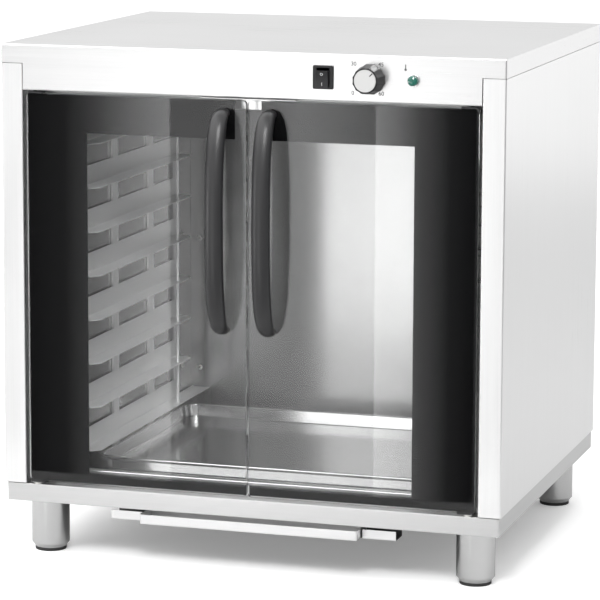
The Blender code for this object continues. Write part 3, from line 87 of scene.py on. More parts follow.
class Level(Enum):
    """Lower or upper end of a door."""

    LOWER = 0
    UPPER = 1

    @property
    def word(self) -> str:
        """Name used in piece names."""
        return self.name.lower()


# Shapes worked out with numpy


@dataclass
class Surface:
    """Points and faces of one shape, in metres in the cabinet's frame."""

    points: np.ndarray
    faces: List[List[int]]

    def joined(self, *others: "Surface") -> "Surface":
        """One surface of this one and others, each kept as its own shell.

        Args:
            others: the surfaces to add.

        Returns:
            The surface that holds them all.
        """
        points, faces = [self.points], [list(face) for face in self.faces]
        start = len(self.points)
        for other in others:
            points.append(other.points)
            faces += [[index + start for index in face] for face in other.faces]
            start += len(other.points)
        return Surface(np.concatenate(points), faces)

    def moved(self, shift: Sequence[float]) -> "Surface":
        """A copy shifted by a vector."""
        return Surface(self.points + np.asarray(shift, float), self.faces)

    def turned(self, matrix: np.ndarray, about: Sequence[float] = (0, 0, 0)) -> "Surface":
        """A copy turned by a 3 x 3 matrix about a point."""
        about = np.asarray(about, float)
        return Surface((self.points - about) @ np.asarray(matrix, float).T + about, self.faces)

    def mirrored(self) -> "Surface":
        """A copy mirrored in the plane X = 0, with its faces turned round to stay outward."""
        return Surface(self.points * (-1, 1, 1), [face[::-1] for face in self.faces])


def unit(vector: Sequence[float]) -> np.ndarray:
    """The vector over its own length."""
    vector = np.asarray(vector, float)
    return vector / np.linalg.norm(vector)


def turn_about(axis: Axis, angle: float) -> np.ndarray:
    """Rotation matrix about one axis, anticlockwise when the axis points at the viewer."""
    return np.array(Matrix.Rotation(angle, 3, axis.name), float)


def woven(points: np.ndarray, wrap_rows: bool = False, wrap_cols: bool = False,
          capped: bool = False) -> Surface:
    """Quads over a grid of points.

    The face of row i and column j joins (i, j), (i, j+1), (i+1, j+1) and (i+1, j).

    Args:
        points: array of rows x columns x 3.
        wrap_rows: True where the last row joins the first.
        wrap_cols: True where the last column joins the first.
        capped: True to close the first and last row with one face each.

    Returns:
        The surface.
    """
    rows, cols = points.shape[:2]
    i, j = np.meshgrid(np.arange(rows if wrap_rows else rows - 1), np.arange(cols if wrap_cols else cols - 1),
                       indexing="ij")
    down, along = (i + 1) % rows, (j + 1) % cols
    quads = np.stack([i * cols + j, i * cols + along, down * cols + along, down * cols + j], -1)
    faces = quads.reshape(-1, 4).tolist()
    if capped:
        faces.append(list(range(cols))[::-1])
        faces.append(list(range((rows - 1) * cols, rows * cols)))
    return Surface(points.reshape(-1, 3), faces)


def filleted(corners: Sequence[Sequence[float]], radius: float, steps: int = 4, closed: bool = False,
             hold: float = 0.0003) -> np.ndarray:
    """A flat line with its corners rounded.

    Each corner gives way to an arc that touches both of its runs: with half the angle between the runs as h,
    the arc starts radius / tan(h) from the corner and its centre lies radius / sin(h) along the bisector. A
    point is held on each run just beyond the arc, so the shading of flat runs stays flat.

    Args:
        corners: the line's points.
        radius: radius of each arc.
        steps: faces along each arc.
        closed: True where the line runs back to its first point.
        hold: how far beyond the arc the held points are.

    Returns:
        The rounded line's points.
    """
    corners = np.asarray(corners, float)
    count = len(corners)
    picked = range(count) if closed else range(1, count - 1)
    share = np.linspace(0, 1, steps + 1)[:, None]
    parts = [] if closed else [corners[:1]]
    for index in picked:
        here = corners[index]
        before, after = unit(corners[index - 1] - here), unit(corners[(index + 1) % count] - here)
        angle = math.acos(float(np.clip(before @ after, -1, 1)))
        centre = here + unit(before + after) * radius / math.sin(angle / 2)
        reach = radius / math.tan(angle / 2)
        first, last = here + before * reach - centre, here + after * reach - centre
        bend = math.pi - angle
        arc = (np.sin((1 - share) * bend) * first + np.sin(share * bend) * last) / math.sin(bend)
        parts += [[here + before * (reach + hold)], centre + arc, [here + after * (reach + hold)]]
    if not closed:
        parts.append(corners[-1:])
    return np.concatenate(parts)


def offset(line: np.ndarray, distance: float, closed: bool = False) -> np.ndarray:
    """A flat line shifted to its left.

    Each point moves along the mean of its two runs' normals, by the distance over the cosine of half its
    turn.

    Args:
        line: the line's points.
        distance: shift to the left, negative for the right.
        closed: True where the line runs back to its first point.

    Returns:
        The shifted points.
    """
    runs = np.roll(line, -1, 0) - line if closed else np.diff(line, axis=0)
    normals = np.stack([-runs[:, 1], runs[:, 0]], 1) / np.linalg.norm(runs, axis=1)[:, None]
    if closed:
        before, after = np.roll(normals, 1, 0), normals
    else:
        before, after = np.vstack([normals[:1], normals]), np.vstack([normals, normals[-1:]])
    mean = before + after
    mean /= np.linalg.norm(mean, axis=1)[:, None]
    return line + mean * (distance / (mean * after).sum(1))[:, None]


def lifted(flat: np.ndarray, axis: Axis, at: float) -> np.ndarray:
    """Flat points set in space across an axis: (y, z) for X, (x, z) for Y and (x, y) for Z."""
    return np.insert(np.asarray(flat, float), axis.value, at, axis=1)


def prism(outline: np.ndarray, axis: Axis, start: float, end: float, edge: float = 0,
          steps: int = 2) -> Surface:
    """A closed flat outline carried straight along an axis, with round edges at both ends.

    Near an end the ring is drawn in by edge x (1 - sin a) at a depth of edge x (1 - cos a), for a from 0 to
    90 degrees.

    Args:
        outline: closed outline, anticlockwise.
        axis: the axis it runs along.
        start: where it starts.
        end: where it ends.
        edge: radius of the end edges, 0 for sharp ones.
        steps: faces across each round edge.

    Returns:
        The closed surface.
    """
    way = 1 if end > start else -1
    angles = np.linspace(0, math.pi / 2, steps + 1) if edge else np.array([math.pi / 2])
    near = [(edge * (1 - math.sin(a)), start + way * edge * (1 - math.cos(a))) for a in angles]
    far = [(edge * (1 - math.sin(a)), end - way * edge * (1 - math.cos(a))) for a in angles[::-1]]
    if edge:
        held = edge * 1.25
        near = [(held, start)] + near + [(0, start + way * held)]
        far = [(0, end - way * held)] + far + [(held, end)]
    rings = []
    for drawn, at in near + far:
        flat = offset(outline, drawn, True) if drawn > SAME_POINT else outline
        rings.append(lifted(flat, axis, at))
    return woven(np.array(rings), wrap_cols=True, capped=True)


def bent_sheet(line: Sequence[Sequence[float]], thickness: float, radius: float, axis: Axis, start: float,
               end: float, steps: int = 5) -> Surface:
    """Sheet metal folded along a flat line.

    The line is the sheet's outer face. Its corners are rounded to the outer fold radius, and the inner face
    is the same line shifted to its left by the thickness.

    Args:
        line: the outer face's corners, with the sheet on the line's left.
        thickness: the sheet's thickness.
        radius: outer radius of the folds.
        axis: the axis that the folds run along.
        start: where the sheet starts on it.
        end: where it ends.
        steps: faces across each fold.

    Returns:
        The closed surface.
    """
    outer = filleted(line, radius, steps)
    inner = offset(outer, thickness)
    ring = np.vstack([outer, inner[::-1]])
    return woven(np.array([lifted(ring, axis, start), lifted(ring, axis, end)]), wrap_cols=True, capped=True)


def rounded_box(low: Sequence[float], high: Sequence[float], radius: float, steps: int = 3) -> Surface:
    """Closed box with round edges and corners.

    Each point of a fine box is pulled onto the ball of the radius round the nearest point of the inner box.

    Args:
        low: lowest corner.
        high: highest corner.
        radius: radius of the edges.
        steps: faces across half an edge.

    Returns:
        The closed surface.
    """
    low, high = np.asarray(low, float), np.asarray(high, float)
    centre, half = (low + high) / 2, (high - low) / 2
    inner = half - radius
    bend = radius * np.append(-0.2, np.tan(np.linspace(0, math.pi / 4, steps + 1)))
    rows = [np.concatenate([-inner[k] - bend[::-1], inner[k] + bend]) for k in range(3)]
    patches = []
    for k in range(3):
        first, second = (k + 1) % 3, (k + 2) % 3
        u, v = np.meshgrid(rows[first], rows[second], indexing="ij")
        for sign in (-1, 1):
            grid = np.zeros(u.shape + (3,))
            grid[..., first], grid[..., second], grid[..., k] = u, v, sign * half[k]
            near = np.clip(grid, -inner, inner)
            away = grid - near
            grid = near + radius * away / np.linalg.norm(away, axis=-1, keepdims=True) + centre
            patches.append(woven(grid))
    return patches[0].joined(*patches[1:])


def spun(profile: Sequence[Sequence[float]], centre: Sequence[float], toward: Sequence[float],
         sides: int = 64) -> Surface:
    """A profile of (radius, height) pairs turned round an axis.

    The point of height h and radius r at angle a is centre + h x axis + r x (cos a x side + sin a x other
    side).

    Args:
        profile: (radius, height) pairs, from pole to pole or back to the first one for a ring.
        centre: point on the axis where the height is 0.
        toward: direction of the axis.
        sides: faces round it.

    Returns:
        The surface, closed where the profile is.
    """
    profile = np.asarray(profile, float)
    axis = unit(toward)
    side = unit(np.cross(axis, (0, 0, 1) if abs(axis[2]) < 0.9 else (1, 0, 0)))
    other = np.cross(axis, side)
    angles = np.arange(sides) * 2 * math.pi / sides
    round_it = np.cos(angles)[:, None] * side + np.sin(angles)[:, None] * other
    points = profile[:, None, :1] * round_it[None] + profile[:, None, 1:] * axis + np.asarray(centre, float)
    return woven(points, wrap_cols=True)


def ring_profile(profile: Sequence[Sequence[float]]) -> np.ndarray:
    """A closed profile for a ring: the same points with the first one again at the end."""
    profile = np.asarray(profile, float)
    return np.vstack([profile, profile[:1]])


def tube_along(path: np.ndarray, radii: np.ndarray, sides: int = 16) -> Surface:
    """A round section carried along a path in space.

    The section's side vector is kept as it is from point to point, less its part along the path, so the tube
    doesn't twist.

    Args:
        path: points of the middle line.
        radii: radius at each point.
        sides: faces round the tube.

    Returns:
        The closed surface.
    """
    tangents = np.gradient(path, axis=0)
    tangents /= np.linalg.norm(tangents, axis=1)[:, None]
    start = (0, 0, 1) if abs(tangents[0, 2]) < 0.9 else (1, 0, 0)
    side = unit(np.cross(tangents[0], start))
    sides_along = []
    for tangent in tangents:
        side = unit(side - tangent * (side @ tangent))
        sides_along.append(side)
    sides_along = np.array(sides_along)
    others = np.cross(tangents, sides_along)
    angles = np.arange(sides) * 2 * math.pi / sides
    cosines, sines = np.cos(angles)[None, :, None], np.sin(angles)[None, :, None]
    spokes = cosines * sides_along[:, None] + sines * others[:, None]
    points = path[:, None] + np.asarray(radii, float)[:, None, None] * spokes
    return woven(points, wrap_cols=True, capped=True)


def rounded_rectangle(half_u: float, half_v: float, radius: float, centre: Sequence[float] = (0, 0),
                      steps: int = 6) -> np.ndarray:
    """Closed rounded rectangle, anticlockwise, about a centre."""
    corners = [(half_u, -half_v), (half_u, half_v), (-half_u, half_v), (-half_u, -half_v)]
    return filleted(corners, radius, steps, True) + np.asarray(centre, float)


def circle(radius: float, centre: Sequence[float] = (0, 0), sides: int = 48) -> np.ndarray:
    """Closed circle, anticlockwise, about a centre."""
    angles = np.arange(sides) * 2 * math.pi / sides
    return radius * np.stack([np.cos(angles), np.sin(angles)], 1) + np.asarray(centre, float)


# Finishes


class Recipe:
    """A material's node tree while it is being written."""

    def __init__(self, name: str) -> None:
        """Starts a material with one Principled shader.

        Args:
            name: the material's name.
        """
        self.material = bpy.data.materials.new(name)
        self.material.use_nodes = True
        self.tree = self.material.node_tree
        self.shader = self.tree.nodes["Principled BSDF"]
        self.output = self.tree.nodes["Material Output"]

    def node(self, kind: str, **settings: object) -> bpy.types.Node:
        """A new node of a kind, with its settings.

        Args:
            kind: the node's type name.
            settings: its properties by name.

        Returns:
            The node.
        """
        made = self.tree.nodes.new(kind)
        for name, value in settings.items():
            setattr(made, name, value)
        return made

    def feed(self, socket: bpy.types.NodeSocket, source: object) -> None:
        """Links a source socket to a socket, or sets a plain value on it.

        Args:
            socket: the input to fill.
            source: a socket or a value.
        """
        if isinstance(source, bpy.types.NodeSocket):
            self.tree.links.new(source, socket)
        elif isinstance(source, tuple) and len(source) == 3 and len(socket.default_value) == 4:
            socket.default_value = (*source, 1)
        else:
            socket.default_value = source

    def set(self, **values: object) -> None:
        """Sets or links inputs of the Principled shader, by their names with underscores for spaces."""
        for name, value in values.items():
            self.feed(self.shader.inputs[name.replace("_", " ")], value)

    def place(self, scale: Sequence[float] = (1, 1, 1), shift: Sequence[float] = (0, 0, 0),
              turn: Sequence[float] = (0, 0, 0)) -> bpy.types.NodeSocket:
        """Object coordinates, shifted, turned and scaled.

        Args:
            scale: factor along each axis.
            shift: added to the coordinates.
            turn: angles about the axes.

        Returns:
            The vector.
        """
        where = self.node("ShaderNodeTexCoord").outputs["Object"]
        mapping = self.node("ShaderNodeMapping", vector_type="POINT")
        self.feed(mapping.inputs["Vector"], where)
        mapping.inputs["Location"].default_value = shift
        mapping.inputs["Rotation"].default_value = turn
        mapping.inputs["Scale"].default_value = scale
        return mapping.outputs["Vector"]

    def noise(self, vector: bpy.types.NodeSocket, scale: float, detail: float = 2, rough: float = 0.5,
              lean: float = 0) -> bpy.types.NodeSocket:
        """Noise factor over a vector.

        Args:
            vector: where the noise is read.
            scale: how fine it is.
            detail: number of finer layers.
            rough: weight of the finer layers.
            lean: how far it is distorted.

        Returns:
            The factor.
        """
        made = self.node("ShaderNodeTexNoise")
        self.feed(made.inputs["Vector"], vector)
        made.inputs["Scale"].default_value = scale
        made.inputs["Detail"].default_value = detail
        made.inputs["Roughness"].default_value = rough
        made.inputs["Distortion"].default_value = lean
        return made.outputs["Fac"]

    def upward(self, lean: float = 0.02) -> bpy.types.NodeSocket:
        """Direction all but straight up, leaning back a little so that level faces have one too.

        Args:
            lean: how far it leans back for a rise of 1.

        Returns:
            The vector.
        """
        made = self.node("ShaderNodeCombineXYZ")
        made.inputs["Y"].default_value = lean
        made.inputs["Z"].default_value = 1
        return made.outputs["Vector"]

    def span(self, factor: bpy.types.NodeSocket, low: float, high: float, low_at: float = 0.3,
             high_at: float = 0.7) -> bpy.types.NodeSocket:
        """A factor spread from one value to another.

        Args:
            factor: the factor.
            low: value at the low end.
            high: value at the high end.
            low_at: factor that gives the low value.
            high_at: factor that gives the high value.

        Returns:
            The value.
        """
        made = self.node("ShaderNodeMapRange")
        self.feed(made.inputs["Value"], factor)
        for name, value in (("From Min", low_at), ("From Max", high_at), ("To Min", low), ("To Max", high)):
            made.inputs[name].default_value = value
        return made.outputs["Result"]

    def tones(self, factor: bpy.types.NodeSocket, low: Colour, high: Colour, low_at: float = 0.3,
              high_at: float = 0.7) -> bpy.types.NodeSocket:
        """A factor turned into colours between two.

        Args:
            factor: the factor.
            low: colour at the low end.
            high: colour at the high end.
            low_at: factor that gives the low colour.
            high_at: factor that gives the high colour.

        Returns:
            The colour.
        """
        made = self.node("ShaderNodeValToRGB")
        self.feed(made.inputs["Fac"], factor)
        first, last = made.color_ramp.elements
        first.position, first.color = low_at, (*low, 1)
        last.position, last.color = high_at, (*high, 1)
        return made.outputs["Color"]

    def sum(self, first: object, second: object, how: str = "ADD") -> bpy.types.NodeSocket:
        """Arithmetic on two values.

        Args:
            first: a socket or a number.
            second: a socket or a number.
            how: the operation.

        Returns:
            The value.
        """
        made = self.node("ShaderNodeMath", operation=how)
        self.feed(made.inputs[0], first)
        self.feed(made.inputs[1], second)
        return made.outputs["Value"]

    def bump(self, height: bpy.types.NodeSocket, strength: float, distance: float = 0.0002,
             before: Optional[bpy.types.NodeSocket] = None) -> bpy.types.NodeSocket:
        """A normal that a height bends.

        Args:
            height: the height factor.
            strength: how strongly it shows.
            distance: the height of a factor of 1, in metres.
            before: a normal to start from.

        Returns:
            The normal.
        """
        made = self.node("ShaderNodeBump")
        made.inputs["Strength"].default_value = strength
        made.inputs["Distance"].default_value = distance
        self.feed(made.inputs["Height"], height)
        if before is not None:
            self.feed(made.inputs["Normal"], before)
        return made.outputs["Normal"]


def shaded(colour: Colour, share: float) -> Colour:
    """A colour times a share, held at 1."""
    return tuple(min(value * share, 1.0) for value in colour)


@dataclass(frozen=True)
class Finish:
    """A named finish that can write its own material."""

    name: str
    slot: str

    def write(self, recipe: Recipe) -> None:
        """Fills in the node tree."""
        raise NotImplementedError

    def material(self) -> bpy.types.Material:
        """The finish's material, written once.

        Returns:
            The material.
        """
        if self.name not in WRITTEN:
            recipe = Recipe(self.name)
            self.write(recipe)
            WRITTEN[self.name] = recipe.material
        return WRITTEN[self.name]


WRITTEN: Dict[str, bpy.types.Material] = {}


@dataclass(frozen=True)
class BrushedSteel(Finish):
    """Stainless sheet with a brushed grain along one axis.

    Fine streaks are noise stretched along the grain, and soft clouds vary the roughness as a rolled sheet
    does.
    """

    tone: Colour = (0.80, 0.80, 0.79)
    grain: Axis = Axis.X
    rough: float = 0.30
    depth: float = 0.10
    streak: float = 0.03
    coarse: float = 140.0
    fine: float = 1100.0
    coarse_stretch: float = 60.0
    fine_stretch: float = 120.0
    swing: float = 0.035
    drift: float = 0.025
    vary: float = 1.0
    metal: float = 1.0
    smear: float = 0.0

    def write(self, recipe: Recipe) -> None:
        """Stretched noise for tone, roughness and bump, and mirror images drawn out upwards by the smear.

        Args:
            recipe: the material that is being written.
        """
        wide, thin = [self.coarse] * 3, [self.fine] * 3
        wide[self.grain.value] = self.coarse / self.coarse_stretch
        thin[self.grain.value] = self.fine / self.fine_stretch
        broad = recipe.noise(recipe.place(wide), 1.0, 3, 0.6)
        hair = recipe.noise(recipe.place(thin), 1.0, 2, 0.6)
        cloud = recipe.noise(recipe.place(), 2.6, 2)
        mixed = recipe.sum(recipe.sum(broad, hair), 0.5, "MULTIPLY")
        recipe.set(Base_Color=recipe.tones(mixed, shaded(self.tone, 1 - self.streak),
                                           shaded(self.tone, 1 + self.streak)))
        swing, drift = self.swing * self.vary, self.drift * self.vary
        clouded = recipe.span(cloud, self.rough - drift, self.rough + drift)
        rough = recipe.sum(recipe.span(mixed, -swing, swing), clouded)
        recipe.set(Metallic=self.metal, Roughness=rough)
        recipe.set(Normal=recipe.bump(hair, self.depth, 0.00008))
        if self.smear:
            recipe.set(Anisotropic=self.smear, Tangent=recipe.upward())


@dataclass(frozen=True)
class TurnedSteel(Finish):
    """Steel with grain in rings round a vertical axis, as on a brushed tube or a turned head."""

    tone: Colour = (0.60, 0.60, 0.60)
    rough: float = 0.20
    depth: float = 0.02
    pitch: float = 1400.0

    def write(self, recipe: Recipe) -> None:
        """Rings of noise along Z, with a softer cloud on top.

        Args:
            recipe: the material that is being written.
        """
        ring = recipe.noise(recipe.place((20, 20, self.pitch)), 1.0, 2, 0.6)
        cloud = recipe.noise(recipe.place(), 30.0, 3)
        recipe.set(Base_Color=recipe.tones(ring, shaded(self.tone, 0.985), shaded(self.tone, 1.015)))
        clouded = recipe.span(cloud, self.rough - 0.02, self.rough + 0.02)
        recipe.set(Metallic=1.0, Roughness=recipe.sum(recipe.span(ring, -0.01, 0.01), clouded))
        recipe.set(Normal=recipe.bump(ring, self.depth, 0.00006))


@dataclass(frozen=True)
class PlainMetal(Finish):
    """Plated or cast metal with a fine mottle and a few dull spots."""

    tone: Colour = (0.60, 0.60, 0.60)
    rough: float = 0.30
    metallic: float = 1.0
    grain: float = 600.0
    depth: float = 0.06

    def write(self, recipe: Recipe) -> None:
        """Fine noise for the mottle and wide noise for the dull spots.

        Args:
            recipe: the material that is being written.
        """
        fine = recipe.noise(recipe.place(), self.grain, 3, 0.6)
        spots = recipe.noise(recipe.place(), self.grain / 14, 2)
        recipe.set(Base_Color=recipe.tones(fine, shaded(self.tone, 0.92), shaded(self.tone, 1.06)))
        recipe.set(Metallic=self.metallic, Roughness=recipe.span(spots, self.rough - 0.04, self.rough + 0.07))
        recipe.set(Normal=recipe.bump(fine, self.depth, 0.0001))


@dataclass(frozen=True)
class Moulded(Finish):
    """Moulded plastic, rubber or ceramic with a fine eroded grain."""

    tone: Colour = (0.02, 0.02, 0.021)
    rough: float = 0.40
    grain: float = 1500.0
    depth: float = 0.18
    shine: float = 0.5
    spread: float = 0.15

    def write(self, recipe: Recipe) -> None:
        """Fine noise for the eroded grain, wide noise for handling marks in the gloss.

        Args:
            recipe: the material that is being written.
        """
        grain = recipe.noise(recipe.place(), self.grain, 3, 0.7)
        marks = recipe.noise(recipe.place(), 55.0, 3, 0.6)
        recipe.set(Base_Color=recipe.tones(grain, shaded(self.tone, 1 - self.spread),
                                           shaded(self.tone, 1 + self.spread)))
        recipe.set(Roughness=recipe.span(marks, self.rough - 0.04, self.rough + 0.06))
        recipe.set(Specular_IOR_Level=self.shine)
        recipe.set(Normal=recipe.bump(grain, self.depth, 0.00012))


@dataclass(frozen=True)
class SafetyGlass(Finish):
    """Toughened clear glass, all but colourless, with a trace of wiping marks.

    Lamps and soft light pass straight through, as they would a pane in a real room.
    """

    tone: Colour = (0.972, 0.974, 0.974)
    bend: float = 1.33

    def write(self, recipe: Recipe) -> None:
        """Clear shader, let through by a Transparent one for shadow and diffuse rays.

        Args:
            recipe: the material that is being written.
        """
        smear = recipe.noise(recipe.place((1.2, 1.2, 5.0)), 7.0, 4, 0.6)
        recipe.set(Base_Color=recipe.tones(smear, shaded(self.tone, 0.99), self.tone))
        recipe.set(Roughness=0.0, IOR=self.bend, Transmission_Weight=1.0)
        path = recipe.node("ShaderNodeLightPath")
        passing = recipe.sum(path.outputs["Is Shadow Ray"], path.outputs["Is Diffuse Ray"], "MAXIMUM")
        clear = recipe.node("ShaderNodeBsdfTransparent")
        clear.inputs["Color"].default_value = (*shaded(self.tone, 0.97), 1)
        mix = recipe.node("ShaderNodeMixShader")
        recipe.feed(mix.inputs["Fac"], passing)
        recipe.feed(mix.inputs[1], recipe.shader.outputs["BSDF"])
        recipe.feed(mix.inputs[2], clear.outputs["BSDF"])
        recipe.feed(recipe.output.inputs["Surface"], mix.outputs["Shader"])


@dataclass(frozen=True)
class ColouredLens(Finish):
    """Tinted clear plastic lens whose facets catch light inside it."""

    tone: Colour = (0.012, 0.120, 0.088)

    def write(self, recipe: Recipe) -> None:
        """Coloured, partly clear body with a fine sparkle.

        Args:
            recipe: the material that is being written.
        """
        spark = recipe.noise(recipe.place(), 900.0, 2, 0.5)
        recipe.set(Base_Color=recipe.tones(spark, shaded(self.tone, 0.75), shaded(self.tone, 1.3)))
        recipe.set(Roughness=recipe.span(spark, 0.06, 0.16), IOR=1.49, Transmission_Weight=0.20)
        recipe.set(Coat_Weight=0.3, Coat_Roughness=0.08)


@dataclass(frozen=True)
class SpunDisc(Finish):
    """Aluminium disc with the fine rings of its turning round a centre in the XZ plane."""

    tone: Colour = (0.56, 0.56, 0.555)
    centre: Point = (0, 0, 0)
    rings: float = 2600.0

    def write(self, recipe: Recipe) -> None:
        """Noise over the distance from the centre gives the rings.

        Args:
            recipe: the material that is being written.
        """
        where = recipe.place(shift=tuple(-value for value in self.centre))
        flat = recipe.node("ShaderNodeVectorMath", operation="MULTIPLY")
        recipe.feed(flat.inputs[0], where)
        flat.inputs[1].default_value = (1, 0, 1)
        reach = recipe.node("ShaderNodeVectorMath", operation="LENGTH")
        recipe.feed(reach.inputs[0], flat.outputs["Vector"])
        line = recipe.node("ShaderNodeCombineXYZ")
        recipe.feed(line.inputs["X"], reach.outputs["Value"])
        ring = recipe.noise(line.outputs["Vector"], self.rings, 2, 0.6)
        recipe.set(Base_Color=recipe.tones(ring, shaded(self.tone, 0.93), shaded(self.tone, 1.03)))
        recipe.set(Metallic=0.55, Roughness=recipe.span(ring, 0.30, 0.42))
        recipe.set(Normal=recipe.bump(ring, 0.10, 0.00005))


@dataclass(frozen=True)
class Ink(Finish):
    """Screen printed ink, matt, a little uneven in its cover."""

    tone: Colour = (0.08, 0.08, 0.08)
    rough: float = 0.55

    def write(self, recipe: Recipe) -> None:
        """Noise for the ink's cover.

        Args:
            recipe: the material that is being written.
        """
        cover = recipe.noise(recipe.place(), 2200.0, 3, 0.6)
        recipe.set(Base_Color=recipe.tones(cover, shaded(self.tone, 0.8), shaded(self.tone, 1.5)))
        recipe.set(Roughness=recipe.span(cover, self.rough - 0.05, self.rough + 0.08))


COVER_STEEL = BrushedSteel("cover_steel", "case_steel", tone=(0.82, 0.82, 0.82), grain=Axis.X, rough=0.30,
                           depth=0.06)
SIDE_STEEL = BrushedSteel("side_steel", "case_steel", tone=(0.86, 0.86, 0.86), grain=Axis.Z, rough=0.32,
                          depth=0.06)
BAND_STEEL = BrushedSteel("band_steel", "case_steel", tone=(0.62, 0.62, 0.62), grain=Axis.X, rough=0.32,
                          depth=0.06)
CAVITY_STEEL = BrushedSteel("cavity_steel", "cavity_steel", tone=(0.41, 0.41, 0.41), grain=Axis.X, rough=0.22,
                            depth=0.0, streak=0.012, vary=0.3, smear=0.9)
# Painted shade: near-black steel for the trough, so its inside reads as the shade in the slot under the doors
SHADE_DARK_STEEL = BrushedSteel("dull_steel", "case_steel", tone=(0.13, 0.13, 0.13), grain=Axis.X, rough=0.50)
PAN_STEEL = BrushedSteel("pan_steel", "cavity_steel", tone=(0.64, 0.64, 0.64), grain=Axis.X, rough=0.15,
                         depth=0.02, vary=0.4)
RACK_STEEL = BrushedSteel("rack_steel", "rack_steel", tone=(0.95, 0.95, 0.95), grain=Axis.Y, rough=0.36,
                          depth=0.03, streak=0.012, vary=0.3, metal=0.6)
LEG_STEEL = TurnedSteel("leg_steel", "leg_steel")
SCREW_STEEL = PlainMetal("screw_steel", "screw_steel", tone=(0.60, 0.60, 0.59), rough=0.28)
ELEMENT_STEEL = PlainMetal("element_steel", "screw_steel", tone=(0.33, 0.29, 0.25), rough=0.42, grain=350.0)
CHROME = PlainMetal("chrome", "chrome", tone=(0.88, 0.88, 0.89), rough=0.08, depth=0.02)
COPPER = PlainMetal("copper", "copper", tone=(0.75, 0.42, 0.27), rough=0.28)
BLACK_METAL = PlainMetal("black_metal", "black_metal", tone=(0.030, 0.030, 0.032), rough=0.38, metallic=0.3)
GLASS = SafetyGlass("glass", "glass")
BORDER = Moulded("black_film", "black_film", tone=(0.004, 0.004, 0.0043), rough=0.5, depth=0.04,
                 grain=700.0, shine=0.0)
GRIP = Moulded("grip_plastic", "black_plastic", tone=(0.016, 0.016, 0.017), rough=0.36, grain=1700.0)
CONTROL_BLACK = Moulded("control_plastic", "black_plastic", tone=(0.018, 0.018, 0.019), rough=0.40,
                        depth=0.08, shine=0.3)
RUBBER = Moulded("black_rubber", "black_rubber", tone=(0.022, 0.022, 0.022), rough=0.72, depth=0.30,
                 grain=900.0)
CERAMIC = Moulded("white_ceramic", "white_ceramic", tone=(0.80, 0.79, 0.75), rough=0.38, spread=0.03,
                  depth=0.05)
NYLON = Moulded("nylon", "nylon", tone=(0.74, 0.74, 0.71), rough=0.42, spread=0.03, depth=0.05)
LENS = ColouredLens("green_lens", "green_lens")
LEGEND_INK = Ink("legend_ink", "black_plastic", tone=(0.09, 0.09, 0.09))
POINTER_INK = Ink("pointer_ink", "black_plastic", tone=(0.012, 0.012, 0.012), rough=0.4)
WHITE_INK = Ink("white_ink", "nylon", tone=(0.62, 0.62, 0.62))


# Pieces


def finished(name: str, surface: Surface, finish: Finish, body: str, replaces: Iterable[str] = (),
             crease: float = 32.0) -> bpy.types.Object:
    """Makes an object of a surface, in place, and ties it to its body.

    Doubles are merged, the faces made to point outward, and edges sharper than the crease angle stay sharp.

    Args:
        name: the piece's name.
        surface: its shape in the cabinet's frame.
        finish: what it is finished in.
        body: the moving body it rides on.
        replaces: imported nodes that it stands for.
        crease: angle in degrees above which an edge stays sharp.

    Returns:
        The object.
    """
    mesh = bpy.data.meshes.new(name)
    mesh.from_pydata(surface.points.tolist(), [], surface.faces)
    bm = bmesh.new()
    bm.from_mesh(mesh)
    bmesh.ops.remove_doubles(bm, verts=bm.verts, dist=MERGE_WITHIN)
    bmesh.ops.recalc_face_normals(bm, faces=bm.faces)
    bm.to_mesh(mesh)
    bm.free()
    return dressed_mesh(name, mesh, finish, body, replaces, crease)


def dressed_mesh(name: str, mesh: bpy.types.Mesh, finish: Finish, body: str,
                 replaces: Iterable[str] = (), crease: float = 32.0) -> bpy.types.Object:
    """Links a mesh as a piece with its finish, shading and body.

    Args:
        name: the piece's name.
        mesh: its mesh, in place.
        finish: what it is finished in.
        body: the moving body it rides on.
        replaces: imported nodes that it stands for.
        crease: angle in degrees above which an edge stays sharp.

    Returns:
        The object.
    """
    mesh.materials.clear()
    mesh.materials.append(finish.material())
    mesh.shade_smooth()
    mesh.set_sharp_from_angle(angle=math.radians(crease))
    piece = bpy.data.objects.new(name, mesh)
    bpy.context.scene.collection.objects.link(piece)
    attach(piece, body)
    if replaces:
        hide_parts(*replaces)
    LOG.info("%s: %d points on %s", name, len(mesh.vertices), body)
    return piece


def repaint(node: str, finish: Finish) -> None:
    """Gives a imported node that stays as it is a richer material.

    Args:
        node: the node's name.
        finish: its new finish.
    """
    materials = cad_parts[node].data.materials
    materials.clear()
    materials.append(finish.material())


